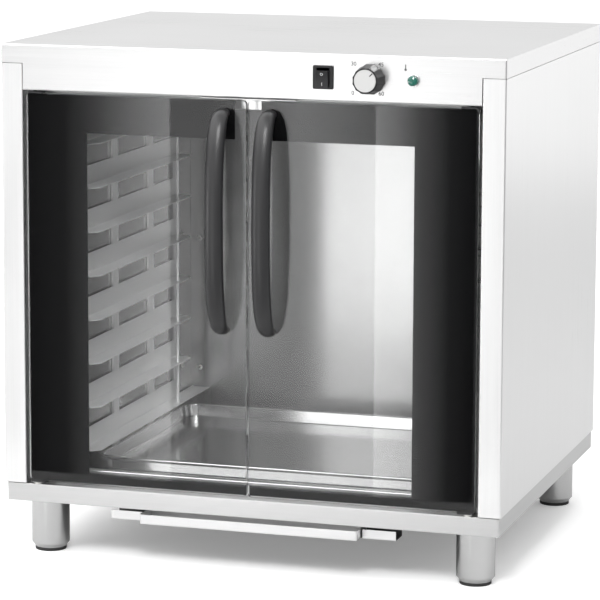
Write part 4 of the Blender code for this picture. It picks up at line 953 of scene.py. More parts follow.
def cross_head(centre: Sequence[float], toward: Sequence[float], radius: float, height: float,
               spin: float = 0.3) -> Surface:
    """Pan head of a screw with a cross recess.

    The head's height falls from the middle as a circle's arc does, and is sunk by the recess's depth where
    the smaller of |u| and |v| is inside half the blade's width and the larger inside the blade's reach.

    Args:
        centre: middle of the face that the head sits on.
        toward: the way that the head faces.
        radius: the head's radius.
        height: its height.
        spin: angle of the cross.

    Returns:
        The closed surface.
    """
    rings, sides = 22, 48
    share = np.linspace(0, 1, rings)
    r = share[:, None] * radius
    angles = np.arange(sides)[None] * 2 * math.pi / sides
    flat = np.sqrt(np.clip(1 - share ** 4, 0, 1))[:, None] * height
    u, v = r * np.cos(angles + spin), r * np.sin(angles + spin)
    blade, reach = radius * 0.17, radius * 0.60
    inside = (np.minimum(abs(u), abs(v)) < blade) & (np.maximum(abs(u), abs(v)) < reach)
    up = np.broadcast_to(flat, inside.shape) - inside * height * 0.55
    axis = unit(toward)
    side = unit(np.cross(axis, (0, 0, 1) if abs(axis[2]) < 0.9 else (1, 0, 0)))
    other = np.cross(axis, side)
    flat_grid = (r * np.cos(angles))[..., None] * side + (r * np.sin(angles))[..., None] * other
    grid = flat_grid + up[..., None] * axis
    skirt = grid[-1:] - up[-1:, :, None] * axis
    base = skirt * 0
    grid = np.concatenate([grid, skirt, base]) + np.asarray(centre, float)
    return woven(grid, wrap_cols=True)


# Sub-assemblies

# Y of the posts' front faces and of the back panel's outer face
FRONT = -0.3161
BACK = 0.3539


@dataclass
class Case:
    """Cover with its fascia, side panels with their posts, base tray and back panel, all of brushed sheet."""

    half_width: float = 0.4
    top: float = 0.808
    skirt_bottom: float = 0.7787
    fascia_half: float = 0.3633
    fascia_bottom: float = 0.737
    frame_face: float = -0.2894
    post_inner: float = 0.364
    rear_return: float = 0.380
    panel_low: float = 0.1178
    panel_high: float = 0.7780
    sheet: float = 0.0012
    fold: float = 0.0022
    edge: float = 0.0025
    base_low: float = 0.088
    base_high: float = 0.1165
    base_inset: float = 0.0027
    base_edge: float = 0.0009
    base_corner: float = 0.003
    base_inner_corner: float = 0.0018
    window_half: float = 0.2903
    window_inset: float = 0.085
    window_corner: float = 0.002
    flat_inset: float = 0.02
    inner_bevel: float = 0.001
    least_radius: float = 0.0003
    least_base_radius: float = 0.0005
    gap: float = 0.0003
    mouth_back: float = -0.2771
    mouth_fold: float = 0.0018
    mouth_outline: Point = (0.380, 0.1168, 0.747)
    mouth_opening: Point = (0.3064, 0.140, 0.716)
    mouth_corner: float = 0.0008
    strip_half: float = 0.076
    strip_z: Span = (0.7344, 0.7356)
    strip_setback: float = 0.002
    strip_root: float = 0.0006
    screw_rows: int = 4
    screw_z: Span = (0.1372, 0.758)
    screw_x: float = 0.3893
    screw_size: Span = (0.0048, 0.0027)

    def level_ring(self, inset: float, z: float, radius: float) -> np.ndarray:
        """Rounded rectangle at one height, drawn in from the case's outline.

        Args:
            inset: how far it is drawn in.
            z: its height.
            radius: the outline's corner radius, which the inset takes from.

        Returns:
            Its points.
        """
        middle = (FRONT + BACK) / 2
        flat = rounded_rectangle(self.half_width - inset, (BACK - FRONT) / 2 - inset,
                                 max(radius - inset, self.least_radius), (0, middle))
        return lifted(flat, Axis.Z, z)

    def cover(self) -> Surface:
        """Cover and fascia.

        The cover is rounded rectangles that grow out along a quarter circle from the flat top, drop to the
        skirt's edge and come back inside by the sheet. The fascia is the front skirt carried on down, and
        folded back over the doors.

        Returns:
            The closed surface.
        """
        outer = filleted([(self.flat_inset, self.top), (0, self.top), (0, self.skirt_bottom)], self.edge, 6)
        rings = [self.level_ring(inset, z, self.edge) for inset, z in outer]
        inner = [(self.sheet, self.skirt_bottom), (self.sheet, self.top - self.sheet - self.inner_bevel),
                 (self.sheet + self.inner_bevel, self.top - self.sheet)]
        rings += [self.level_ring(inset, z, self.edge) for inset, z in inner]
        shell = woven(np.array(rings), wrap_cols=True, capped=True)
        line = [(FRONT, self.skirt_bottom), (FRONT, self.fascia_bottom),
                (self.frame_face, self.fascia_bottom)]
        fascia = bent_sheet(line, self.sheet, self.fold, Axis.X, -self.fascia_half, self.fascia_half)
        return shell.joined(fascia)

    def side_panel(self) -> Surface:
        """Right side panel: sheet folded from the post's return round the front and in again at the back.

        Returns:
            The closed surface.
        """
        rear = BACK - self.sheet - self.gap
        line = [(self.post_inner, self.frame_face), (self.post_inner, FRONT), (self.half_width, FRONT),
                (self.half_width, rear), (self.rear_return, rear)]
        return bent_sheet(line, self.sheet, self.fold, Axis.Z, self.panel_low, self.panel_high)

    def base(self) -> Surface:
        """Base tray: a closed band with broken edges and a window in its top.

        Rounded rectangles run from the middle of the underside out and up the sides, in over the top to the
        window, down its edge, and back out and down inside the sheet.

        Returns:
            The closed surface.
        """
        centre = (0, (FRONT + BACK) / 2)
        half_x, half_y = self.half_width - self.base_inset, (BACK - FRONT) / 2 - self.base_inset
        inside, underside = self.base_high - self.sheet, self.base_low + self.sheet
        outer = filleted([(self.flat_inset, self.base_low), (0, self.base_low), (0, self.base_high),
                          (self.flat_inset, self.base_high)], self.base_edge, 4)
        rings = []
        for inset, z in outer:
            corner = max(self.base_corner - inset, self.least_base_radius)
            rings.append(lifted(rounded_rectangle(half_x - inset, half_y - inset, corner, centre), Axis.Z, z))
        window = rounded_rectangle(self.window_half, half_y - self.window_inset, self.window_corner, centre)
        rings += [lifted(window, Axis.Z, self.base_high), lifted(window, Axis.Z, inside)]
        lining = rounded_rectangle(half_x - self.sheet, half_y - self.sheet, self.base_inner_corner, centre)
        rings += [lifted(lining, Axis.Z, inside), lifted(lining, Axis.Z, underside)]
        return woven(np.array(rings), wrap_cols=True, capped=True)

    def mouth(self) -> Surface:
        """Frame round the cavity's mouth, with the catch strip over the doors.

        Two families of rounded rectangles in the XZ plane, the frame's outline drawn in and its opening drawn
        out by the same inset, follow a folded profile of inset and depth with round folds at the face.

        Returns:
            The closed surface.
        """
        face, back, fold = self.frame_face + self.gap, self.mouth_back, self.mouth_fold
        lining = face + self.sheet
        turns = np.linspace(0, math.pi / 2, 6)

        def ring(edge: Point, inset: float, depth: float) -> np.ndarray:
            """One rectangle of a family, at a depth.

            Args:
                edge: half width, lower height and upper height of the family's first one.
                inset: how far it is drawn in.
                depth: its Y.

            Returns:
                Its points.
            """
            half, low, high = edge[0] - inset, edge[1] + inset, edge[2] - inset
            flat = rounded_rectangle(half, (high - low) / 2, self.mouth_corner, (0, (low + high) / 2), 4)
            return lifted(flat, Axis.Y, depth)

        outline, opening = self.mouth_outline, self.mouth_opening
        rows = [ring(outline, 0, back)]
        rows += [ring(outline, fold * (1 - math.cos(a)), face + fold * (1 - math.sin(a))) for a in turns]
        rows += [ring(opening, -fold * (1 - math.sin(a)), face + fold * (1 - math.cos(a))) for a in turns]
        rows += [ring(opening, 0, back), ring(opening, -self.sheet, back), ring(opening, -self.sheet, lining),
                 ring(outline, self.sheet, lining), ring(outline, self.sheet, back)]
        strip = rounded_box((-self.strip_half, FRONT + self.strip_setback, self.strip_z[0]),
                            (self.strip_half, self.frame_face + self.strip_root, self.strip_z[1]),
                            self.gap, 2)
        return woven(np.array(rows), wrap_rows=True, wrap_cols=True).joined(strip)

    def back_screws(self) -> Surface:
        """Pan heads of the back panel's screws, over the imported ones.

        Returns:
            The heads, each closed.
        """
        heads = []
        low, high = self.screw_z
        for sign in (-1, 1):
            for row in range(self.screw_rows):
                z = low + row * (high - low) / (self.screw_rows - 1)
                spin = 0.4 + row * 1.1 + sign
                heads.append(cross_head((sign * self.screw_x, BACK, z), (0, 1, 0), *self.screw_size, spin))
        return heads[0].joined(*heads[1:])

    def build(self) -> None:
        """Makes and dresses the case's pieces."""
        finished("cover_with_fascia", self.cover(), COVER_STEEL, "cabinet", ["top_cover"])
        panel = self.side_panel()
        finished("right_panel_with_post", panel, SIDE_STEEL, "cabinet", ["right_side_panel"])
        finished("left_panel_with_post", panel.mirrored(), SIDE_STEEL, "cabinet", ["left_side_panel"])
        finished("base_band", self.base(), BAND_STEEL, "cabinet", ["base_frame"])
        finished("back_panel_screws", self.back_screws(), SCREW_STEEL, "cabinet")
        repaint("back_panel", SIDE_STEEL)
        finished("mouth_frame", self.mouth(), COVER_STEEL, "cabinet", ["front_frame"])


@dataclass
class Cavity:
    """Inside of the cabinet: walls, floor, ceiling, racks and the small screws."""

    wall: float = 0.3076
    back: float = 0.3089
    column: float = 0.291
    rows: Tuple[float, ...] = (0.192, 0.420, 0.648)
    side_y: float = 0.2639
    side_raise: float = 0.011
    screw_size: Span = (0.0049, 0.0026)

    def screws(self) -> Surface:
        """Pan heads with cross recesses on the back wall and both side walls.

        Returns:
            The heads, each closed.
        """
        heads = []
        for index, z in enumerate(self.rows):
            for sign in (-1, 1):
                spin = 0.5 + index * 0.9 + sign
                rear = (sign * self.column, self.back, z)
                beside = (sign * self.wall, self.side_y, z + self.side_raise)
                heads.append(cross_head(rear, (0, -1, 0), *self.screw_size, spin))
                heads.append(cross_head(beside, (-sign, 0, 0), *self.screw_size, spin + 0.6))
        return heads[0].joined(*heads[1:])

    def build(self) -> None:
        """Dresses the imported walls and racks, and adds the screws."""
        finished("cavity_screws", self.screws(), SCREW_STEEL, "cabinet")
        for node in ("left_cavity_wall", "right_cavity_wall", "cavity_back_wall", "cavity_ceiling"):
            repaint(node, CAVITY_STEEL)
        repaint("cavity_floor", PAN_STEEL)
        for side in Side:
            repaint(side.word + "_tray_rack", RACK_STEEL)


@dataclass
class WaterPan:
    """Shallow pressed pan with rounded corners, a flat rim and a turned down lip."""

    half_x: float = 0.2995
    half_y: float = 0.2225
    middle_y: float = 0.0319
    corner: float = 0.030
    rim: float = 0.008
    lip: float = 0.005
    draft: float = 0.003
    sheet: float = 0.001
    fold: float = 0.0018
    floor_inset: float = 0.0185
    low: float = 0.1188
    high: float = 0.1398

    def surface(self) -> Surface:
        """The pressed sheet.

        A profile of inset and height runs from under the floor out, up the wall, over the rim and down the
        lip. It is rounded at its corners and shifted to both sides by half the sheet, and each point of it is
        a rounded rectangle drawn in by the inset.

        Returns:
            The closed surface.
        """
        line = filleted([(self.floor_inset, self.low), (self.rim + self.draft, self.low),
                         (self.rim, self.high), (0, self.high), (0, self.high - self.lip)], self.fold, 5)
        under, over = offset(line, -self.sheet / 2), offset(line, self.sheet / 2)
        rings = []
        for inset, z in np.vstack([under, over[::-1]]):
            flat = rounded_rectangle(self.half_x - inset, self.half_y - inset, self.corner - inset,
                                     (0, self.middle_y), 10)
            rings.append(lifted(flat, Axis.Z, z))
        return woven(np.array(rings), wrap_cols=True, capped=True)

    def build(self) -> None:
        """Makes the pan on its own body."""
        finished("pressed_water_pan", self.surface(), PAN_STEEL, "pan", ["water_pan"])


@dataclass
class Door:
    """One glass door with its border, bow handle, screws, hinge clamps and strike plate."""

    side: Side
    handle_x: float = 0.037
    handle_z: float = 0.5475
    half_length: float = 0.16604
    reach: float = 0.048
    roundness: float = 2.7
    width: float = 0.029
    thickness: float = 0.019
    end_share: float = 0.68
    feet: Span = (0.3815, 0.7135)
    pivot_x: float = 0.347
    pivot_y: float = -0.3067
    pin: float = 0.0025
    seat: float = 0.0003
    screw_back: float = -0.3098
    screw_size: Span = (0.0051, 0.0032)
    shank: float = 0.016
    clamp_x: Span = (0.330, 0.358)
    clamp_y: Span = (-0.3092, -0.3042)
    clamp_z: Tuple[Span, Span] = ((0.1199, 0.1497), (0.7053, 0.7351))
    clamp_edge: float = 0.0009
    tongue_x: Span = (0.332, 0.356)
    tongue_z: Tuple[Span, Span] = ((0.1202, 0.1217), (0.7333, 0.7348))
    tongue_edge: float = 0.0003
    pin_z: Tuple[Span, Span] = ((0.1155, 0.121), (0.734, 0.7395))
    bore: float = 0.0028
    bush: float = 0.0045
    flange: float = 0.007
    flange_edge: float = 0.0001
    flange_height: float = 0.0006
    base_top: float = 0.1168

    @property
    def body(self) -> str:
        """Name of the door's moving body."""
        return self.side.word + "_door"

    def placed(self, surface: Surface) -> Surface:
        """The surface, worked out for the right door, on this door's side."""
        return surface if self.side is Side.RIGHT else surface.mirrored()

    def handle(self) -> Surface:
        """Bowed grip of oval section.

        With the share s from -1 to 1 and a = s x 90 degrees, the middle line's height is |sin a| to the
        power 2 / roundness, and its reach from the glass is cos a to the same power. The oval shrinks by the
        fourth power of s towards the feet.

        Returns:
            The closed surface.
        """
        even = np.linspace(-1, 1, 121)
        share = (np.sin(even * math.pi / 2) + 2 * even) / 3
        angle = share * math.pi / 2
        power = 2 / self.roundness
        height = np.sign(share) * np.abs(np.sin(angle)) ** power * self.half_length
        away = np.clip(np.cos(angle), 0, None) ** power * self.reach
        face = FRONT - self.seat
        path = np.stack([np.full_like(share, self.handle_x), face - away, self.handle_z + height], 1)
        tangent = np.gradient(path, axis=0)
        tangent[0], tangent[-1] = (0, -1, 0), (0, 1, 0)
        tangent /= np.linalg.norm(tangent, axis=1)[:, None]
        across = np.cross(tangent, (1.0, 0, 0))
        shrink = 1 - (1 - self.end_share) * share ** 4
        turn = np.arange(48) * 2 * math.pi / 48
        wide = np.cos(turn)[None] * shrink[:, None] * self.width / 2
        deep = np.sin(turn)[None] * shrink[:, None] * self.thickness / 2
        points = path[:, None] + wide[..., None] * np.array((1.0, 0, 0)) + deep[..., None] * across[:, None]
        points[..., 1] = np.minimum(points[..., 1], face)
        return woven(points, wrap_cols=True, capped=True)

    def handle_screw(self, z: float, spin: float) -> Surface:
        """Screw of the handle: shank through the glass and crossed head behind it.

        Args:
            z: its height.
            spin: angle of the cross.

        Returns:
            The shank and the head, each closed.
        """
        start = (self.handle_x, self.screw_back - self.shank + self.seat, z)
        shank = spun([(0, 0), (self.pin, 0), (self.pin, self.shank), (0, self.shank)], start, (0, 1, 0), 24)
        head = cross_head((self.handle_x, self.screw_back, z), (0, 1, 0), *self.screw_size, spin)
        return shank.joined(head)

    def clamp(self, level: Level) -> Surface:
        """Hinge clamp behind the glass with its tongue over the glass edge and its pivot pin.

        Args:
            level: the end of the door that it holds.

        Returns:
            Plate, tongue and pin, each closed.
        """
        low, high = self.clamp_z[level.value]
        tongue_low, tongue_high = self.tongue_z[level.value]
        pin_low, pin_high = self.pin_z[level.value]
        plate = rounded_box((self.clamp_x[0], self.clamp_y[0], low), (self.clamp_x[1], self.clamp_y[1], high),
                            self.clamp_edge)
        tongue = rounded_box((self.tongue_x[0], FRONT, tongue_low),
                             (self.tongue_x[1], self.pivot_y, tongue_high), self.tongue_edge)
        length = pin_high - pin_low
        pin = spun([(0, 0), (self.pin, 0), (self.pin, length), (0, length)],
                   (self.pivot_x, self.pivot_y, pin_low), (0, 0, 1), 24)
        return plate.joined(tongue, pin)

    def bushing(self, level: Level) -> Surface:
        """Flanged bush round the pivot pin.

        Args:
            level: the end of the door that it carries.

        Returns:
            The closed surface.
        """
        low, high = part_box(f"{self.side.word}_{level.word}_bushing")
        above_base = high[2] - self.base_top if level is Level.LOWER else 0
        thick = max(above_base, self.flange_height)
        seat = high[2] - thick
        bottom = low[2] - seat
        profile = ring_profile([(self.bore, thick), (self.flange - self.flange_edge, thick),
                                (self.flange, thick - self.flange_edge), (self.flange, 0),
                                (self.bush, 0), (self.bush, bottom), (self.bore, bottom)])
        return spun(profile, (self.pivot_x, self.pivot_y, seat), (0, 0, 1), 40)

    def build(self) -> None:
        """Makes and dresses the door's pieces."""
        word = self.side.word
        repaint(word + "_door_glass", GLASS)
        repaint(word + "_door_border", BORDER)
        handle = self.placed(self.handle())
        finished(word + "_bow_handle", handle, GRIP, self.body, [word + "_door_handle"], 50)
        for level, z in zip(Level, self.feet):
            screw = self.placed(self.handle_screw(z, z * 9))
            finished(f"{word}_{level.word}_handle_screw", screw, SCREW_STEEL, self.body,
                     [f"{word}_handle_{level.word}_screw"])
        for level in Level:
            clamp, bush = self.placed(self.clamp(level)), self.placed(self.bushing(level))
            finished(f"{word}_{level.word}_hinge_clamp", clamp, BLACK_METAL, self.body,
                     [f"{word}_{level.word}_hinge"])
            finished(f"{word}_{level.word}_bush", bush, NYLON, "cabinet", [f"{word}_{level.word}_bushing"])
        repaint(word + "_strike_plate", SCREW_STEEL)
        repaint(word + "_magnet_catch", CONTROL_BLACK)


@dataclass
class Knob:
    """Twelve sided knob with hollow facets, and its turned disc with a pointer mark."""

    x: float = 0.1925
    z: float = 0.7718
    base: float = 0.0235
    face: float = 0.0197
    back: float = FRONT - 0.0008
    front: float = FRONT - 0.0308
    facets: int = 12
    hollow: float = 0.052
    softness: float = 0.02
    bore: float = 0.012
    fold: float = 0.0013
    rim: float = 0.0006
    lip: float = 0.0001
    recess: float = 0.0171
    recess_depth: float = 0.0015
    disc: float = 0.0168
    disc_height: float = 0.0012
    disc_rim: float = 0.0011
    disc_chamfer: float = 0.0003
    disc_dish: float = 0.0002
    pointer: float = math.radians(45)
    pointer_half: float = 0.0008
    pointer_reach: Span = (0.0098, 0.0162)
    pointer_proud: float = 0.00006
    pointer_sunk: float = 0.0006
    pointer_edge: float = 0.0002

    def facet_share(self, angle: np.ndarray) -> np.ndarray:
        """Radius over the corner radius at an angle.

        With s from -1 to 1 across a facet the share is 1 - hollow x (1 - s squared), softened at the corners.

        Args:
            angle: angles round the knob.

        Returns:
            The shares.
        """
        s = (angle * self.facets / (2 * math.pi)) % 1 * 2 - 1
        dip = np.sqrt((1 - s * s) ** 2 + self.softness) - math.sqrt(self.softness)
        return 1 - self.hollow * dip

    def body(self) -> Surface:
        """The knob's grip.

        Rows follow a profile of radius, depth and roundness. Each row's radius is the profile's, times the
        facet share in proportion to how faceted the row is, so the facets run out into the round recess.

        Returns:
            The closed surface.
        """
        depth = self.back - self.front
        side = filleted([(self.bore, 0), (self.base, 0), (self.face, depth), (self.recess + self.rim, depth)],
                        self.fold, 6)
        floor = depth - self.recess_depth
        rows = [(0.0, 0.0, 0.0)] + [(r, h, 1.0) for r, h in side]
        rows += [(self.recess + self.lip, depth, 0.0), (self.recess, depth - 2 * self.lip, 0.0),
                 (self.recess, floor, 0.0), (0.0, floor, 0.0)]
        angle = np.arange(240) * 2 * math.pi / 240
        share = self.facet_share(angle + math.pi / self.facets)
        points = []
        for r, h, faceted in rows:
            on_face = h > depth - 3 * self.lip
            near = min(max((r - self.recess) / (self.face - self.recess), 0), 1) if on_face else 1
            radius = r * (1 + (share - 1) * faceted * near)
            points.append(np.stack([self.x + radius * np.cos(angle), np.full_like(angle, self.back - h),
                                    self.z + radius * np.sin(angle)], 1))
        return woven(np.array(points), wrap_cols=True)

    def plate(self) -> Surface:
        """The disc, with a fine chamfer and a shallow dish.

        Returns:
            The closed surface.
        """
        height, hollow = self.disc_height, self.disc_height - self.disc_dish
        profile = [(0, 0), (self.disc, 0), (self.disc, height - self.disc_chamfer),
                   (self.disc - self.disc_chamfer, height), (self.disc - self.disc_rim, height),
                   (self.disc - self.disc_rim - self.disc_dish, hollow), (0, hollow)]
        return spun(profile, (self.x, self.front + height, self.z), (0, -1, 0), 96)

    def mark(self) -> Surface:
        """Pointer bar on the disc.

        Returns:
            The closed surface.
        """
        near, far = self.pointer_reach
        bar = rounded_box((self.x - self.pointer_half, self.front - self.pointer_proud, self.z + near),
                          (self.x + self.pointer_half, self.front + self.pointer_sunk, self.z + far),
                          self.pointer_edge, 2)
        return bar.turned(turn_about(Axis.Y, self.pointer), (self.x, 0, self.z))

    def build(self) -> None:
        """Makes the knob on its own body."""
        disc = SpunDisc("spun_disc", "silver_disc", centre=(self.x, self.front, self.z))
        finished("knob_grip", self.body(), CONTROL_BLACK, "knob", ["control_knob"], 40)
        finished("knob_plate", self.plate(), disc, "knob", ["knob_disc"])
        finished("knob_pointer", self.mark(), POINTER_INK, "knob")
        repaint("thermostat_shaft", SCREW_STEEL)


@dataclass
class Rocker:
    """Rocker switch: bezel, block with blades, and the rocker with its two marks."""

    x: float = 0.1195
    z: float = 0.7724
    half_x: float = 0.016
    half_z: float = 0.01775
    bezel: float = 0.0025
    corner: float = 0.0022
    pivot: float = FRONT + 0.0047
    reach: float = 0.0155
    half: float = 0.013
    dip: float = 0.0022
    width: float = 0.0188
    tilt: float = math.radians(9)
    seat: float = 0.0003
    edge: float = 0.0012
    pocket_gap: float = 0.0006
    pocket_half: float = 0.0141
    pocket_bevel: float = 0.0005
    pocket_depth: float = 0.008
    pocket_corners: Span = (0.0009, 0.0006)
    block_half: Span = (0.0135, 0.01575)
    block_depth: float = 0.0237
    block_edge: float = 0.0008
    blade_x: float = 0.00675
    blade_start: float = 0.02
    blade_half: float = 0.0031
    blade_sheet: float = 0.0008
    blade_edge: float = 0.0002
    root: Span = (0.006, 0.009)
    end_edge: float = 0.0006
    mark_height: float = 0.0076
    mark_proud: float = 0.00005
    mark_sunk: float = 0.0002
    ring_radii: Span = (0.0021, 0.0015)
    bar_outlines: Tuple[Point, Point] = ((0.00035, 0.0023, 0.0001), (0.00008, 0.0020, 0.00003))

    def frame(self) -> Surface:
        """Bezel with round outer edges and a pocket, and the block behind it.

        The rows are rounded rectangles of half width, half height, corner and depth. They run from the back
        round the edge, over the face and down into the pocket.

        Returns:
            Bezel, block and blades, each closed.
        """
        back = FRONT - self.seat
        front = back - self.bezel
        pocket_x, pocket_z = self.width / 2 + self.pocket_gap, self.pocket_half
        outer, inner = self.pocket_corners
        rows = [(self.half_x, self.half_z, self.corner, back)]
        for turn in np.linspace(0, math.pi / 2, 6):
            inset = self.edge * (1 - math.cos(turn))
            rows.append((self.half_x - inset, self.half_z - inset, self.corner - inset,
                         front + self.edge * (1 - math.sin(turn))))
        rows += [(pocket_x + self.pocket_bevel, pocket_z + self.pocket_bevel, outer, front),
                 (pocket_x, pocket_z, inner, front + 0.8 * self.pocket_bevel),
                 (pocket_x, pocket_z, inner, self.pivot + self.pocket_depth)]
        rings = [lifted(rounded_rectangle(u, v, r, (self.x, self.z)), Axis.Y, y) for u, v, r, y in rows]
        bezel = woven(np.array(rings), wrap_cols=True, capped=True)
        half_x, half_z = self.block_half
        block = rounded_box((self.x - half_x, back, self.z - half_z),
                            (self.x + half_x, FRONT + self.block_depth, self.z + half_z), self.block_edge)
        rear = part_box("switch_body")[1][1]
        blades = []
        for sign in (-1, 1):
            x = self.x + sign * self.blade_x
            blades.append(rounded_box((x, FRONT + self.blade_start, self.z - self.blade_half),
                                      (x + self.blade_sheet, rear, self.z + self.blade_half),
                                      self.blade_edge, 1))
        return bezel.joined(block, *blades)

    def face_depth(self, height: np.ndarray) -> np.ndarray:
        """Depth of the hollow face before tilting: the dip falls off with the square of the height."""
        return self.dip * (1 - (height / self.half) ** 2) - self.reach

    def tilted(self, surface: Surface) -> Surface:
        """The surface, worked out about the pivot, tilted and put in place."""
        turned = surface.turned(turn_about(Axis.X, self.tilt))
        return turned.moved((self.x, self.pivot, self.z))

    def key(self) -> Surface:
        """The rocker: its hollow outline carried across the switch with round ends.

        Returns:
            The closed surface.
        """
        height = np.linspace(-self.half, self.half, 25)
        face = np.stack([self.face_depth(height), height], 1)
        depth, reach = self.root
        outline = np.vstack([[(depth, reach), (depth, -reach)], face])[::-1]
        return self.tilted(prism(outline, Axis.X, -self.width / 2, self.width / 2, self.end_edge, 4))

    def wrapped(self, flat: np.ndarray) -> Surface:
        """A closed band between two outlines laid on the hollow face.

        Args:
            flat: the two outlines, as an array of 2 x n x 2 places across and up.

        Returns:
            The closed surface, half sunk into the face.
        """
        depth = self.face_depth(flat[..., 1])
        proud = np.stack([flat[..., 0], depth - self.mark_proud, flat[..., 1]], -1)
        sunk = np.stack([flat[..., 0], depth + self.mark_sunk, flat[..., 1]], -1)
        rings = np.array([sunk[0], proud[0], proud[1], sunk[1]])
        return self.tilted(woven(rings, wrap_rows=True, wrap_cols=True))

    def marks(self) -> Surface:
        """A ring above and an upright bar below.

        Returns:
            Both marks, each closed.
        """
        above, below = (0, self.mark_height), (0, -self.mark_height)
        ring = self.wrapped(np.array([circle(radius, above) for radius in self.ring_radii]))
        bar = self.wrapped(np.array([rounded_rectangle(*sizes, below) for sizes in self.bar_outlines]))
        return ring.joined(bar)

    def build(self) -> None:
        """Makes the switch, with the rocker on its own body."""
        finished("switch_with_bezel", self.frame(), CONTROL_BLACK, "cabinet", ["switch_body"])
        finished("hollow_rocker", self.key(), CONTROL_BLACK, "rocker", ["switch_rocker"])
        finished("rocker_marks", self.marks(), WHITE_INK, "rocker")


@dataclass
class PilotLamp:
    """Chrome bezel with a faceted green lens."""

    x: float = 0.259
    z: float = 0.7718
    back: float = FRONT - 0.0003
    hub: float = 0.0001
    rim: float = 0.0095
    rim_height: float = 0.0016
    rim_shoulder: float = 0.0009
    rim_chamfer: float = 0.0005
    neck: float = 0.0062
    lens_seat: float = 0.0019
    lens_rows: Tuple[Span, ...] = ((0.0078, 0), (0.0078, 0.0055), (0.0067, 0.0076), (0.0040, 0.0087))
    lens_height: float = 0.009
    facets: int = 14

    def bezel(self) -> Surface:
        """Chrome rim with a chamfered edge, and the neck behind it.

        Returns:
            The closed surface.
        """
        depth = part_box("lamp_body")[1][1] - self.back
        line = filleted([(self.hub, self.rim_height), (self.rim - self.rim_chamfer, self.rim_height),
                         (self.rim, self.rim_shoulder), (self.rim, 0)], self.rim_chamfer, 4)
        profile = [(0, self.rim_height)] + [tuple(point) for point in line]
        profile += [(self.neck, 0), (self.neck, -depth), (0, -depth)]
        return spun(profile, (self.x, self.back, self.z), (0, -1, 0), 64)

    def cut_lens(self) -> Surface:
        """Lens with flat facets in three rows, from its girth up to a point.

        Returns:
            The closed surface.
        """
        profile = [(0, 0), *self.lens_rows, (0, self.lens_height)]
        return spun(profile, (self.x, self.back - self.lens_seat, self.z), (0, -1, 0), self.facets)

    def build(self) -> None:
        """Makes the lamp's two pieces."""
        finished("lamp_bezel", self.bezel(), CHROME, "cabinet", ["lamp_body"])
        finished("lamp_facets", self.cut_lens(), LENS, "cabinet", ["lamp_lens"], 6)


@dataclass
class Legend:
    """Printed legend: four numbers round the knob and a small thermometer above the lamp."""

    numbers: Tuple[Tuple[str, float, float], ...] = (
        ("30", 0.1665, 0.7938), ("45", 0.2087, 0.7938), ("0", 0.1654, 0.7502), ("60", 0.2094, 0.7505))
    height: float = 0.0060
    size_over_height: float = 1.42
    thickness: float = 0.00002
    swell: float = 0.00012
    lift: float = 0.00004
    sunk: float = 0.0001
    icon_x: float = 0.2465
    icon_z: float = 0.7918
    stem_half: Span = (0.0008, 0.0036)
    stem_corner: float = 0.0007
    bulb: float = 0.0019
    bulb_drop: float = 0.0042

    def lettering(self, text: str, x: float, z: float) -> bpy.types.Object:
        """A number as thin flat ink.

        Args:
            text: the number.
            x: its middle across.
            z: its middle up.

        Returns:
            The piece.
        """
        curve = bpy.data.curves.new("number_" + text, "FONT")
        curve.body = text
        curve.align_x, curve.align_y = "CENTER", "CENTER"
        curve.size = self.height * self.size_over_height
        curve.extrude = self.thickness
        curve.offset = self.swell
        curve.resolution_u = 6
        holder = bpy.data.objects.new("number_" + text, curve)
        bpy.context.scene.collection.objects.link(holder)
        bpy.context.view_layer.update()
        mesh = bpy.data.meshes.new_from_object(holder)
        bpy.data.objects.remove(holder)
        upright = Matrix.Rotation(math.radians(90), 4, "X")
        mesh.transform(Matrix.Translation((x, FRONT - self.lift, z)) @ upright)
        return dressed_mesh("number_" + text, mesh, LEGEND_INK, "cabinet")

    def thermometer(self) -> Surface:
        """A stem and a bulb.

        Returns:
            Both, each closed.
        """
        start, end = FRONT - self.lift, FRONT + self.sunk
        line = rounded_rectangle(*self.stem_half, self.stem_corner, (self.icon_x, self.icon_z))
        ball = circle(self.bulb, (self.icon_x, self.icon_z - self.bulb_drop), 24)
        return prism(line, Axis.Y, start, end).joined(prism(ball, Axis.Y, start, end))

    def build(self) -> None:
        """Prints the scale on the fascia."""
        for text, x, z in self.numbers:
            self.lettering(text, x, z)
        finished("thermometer_mark", self.thermometer(), LEGEND_INK, "cabinet")


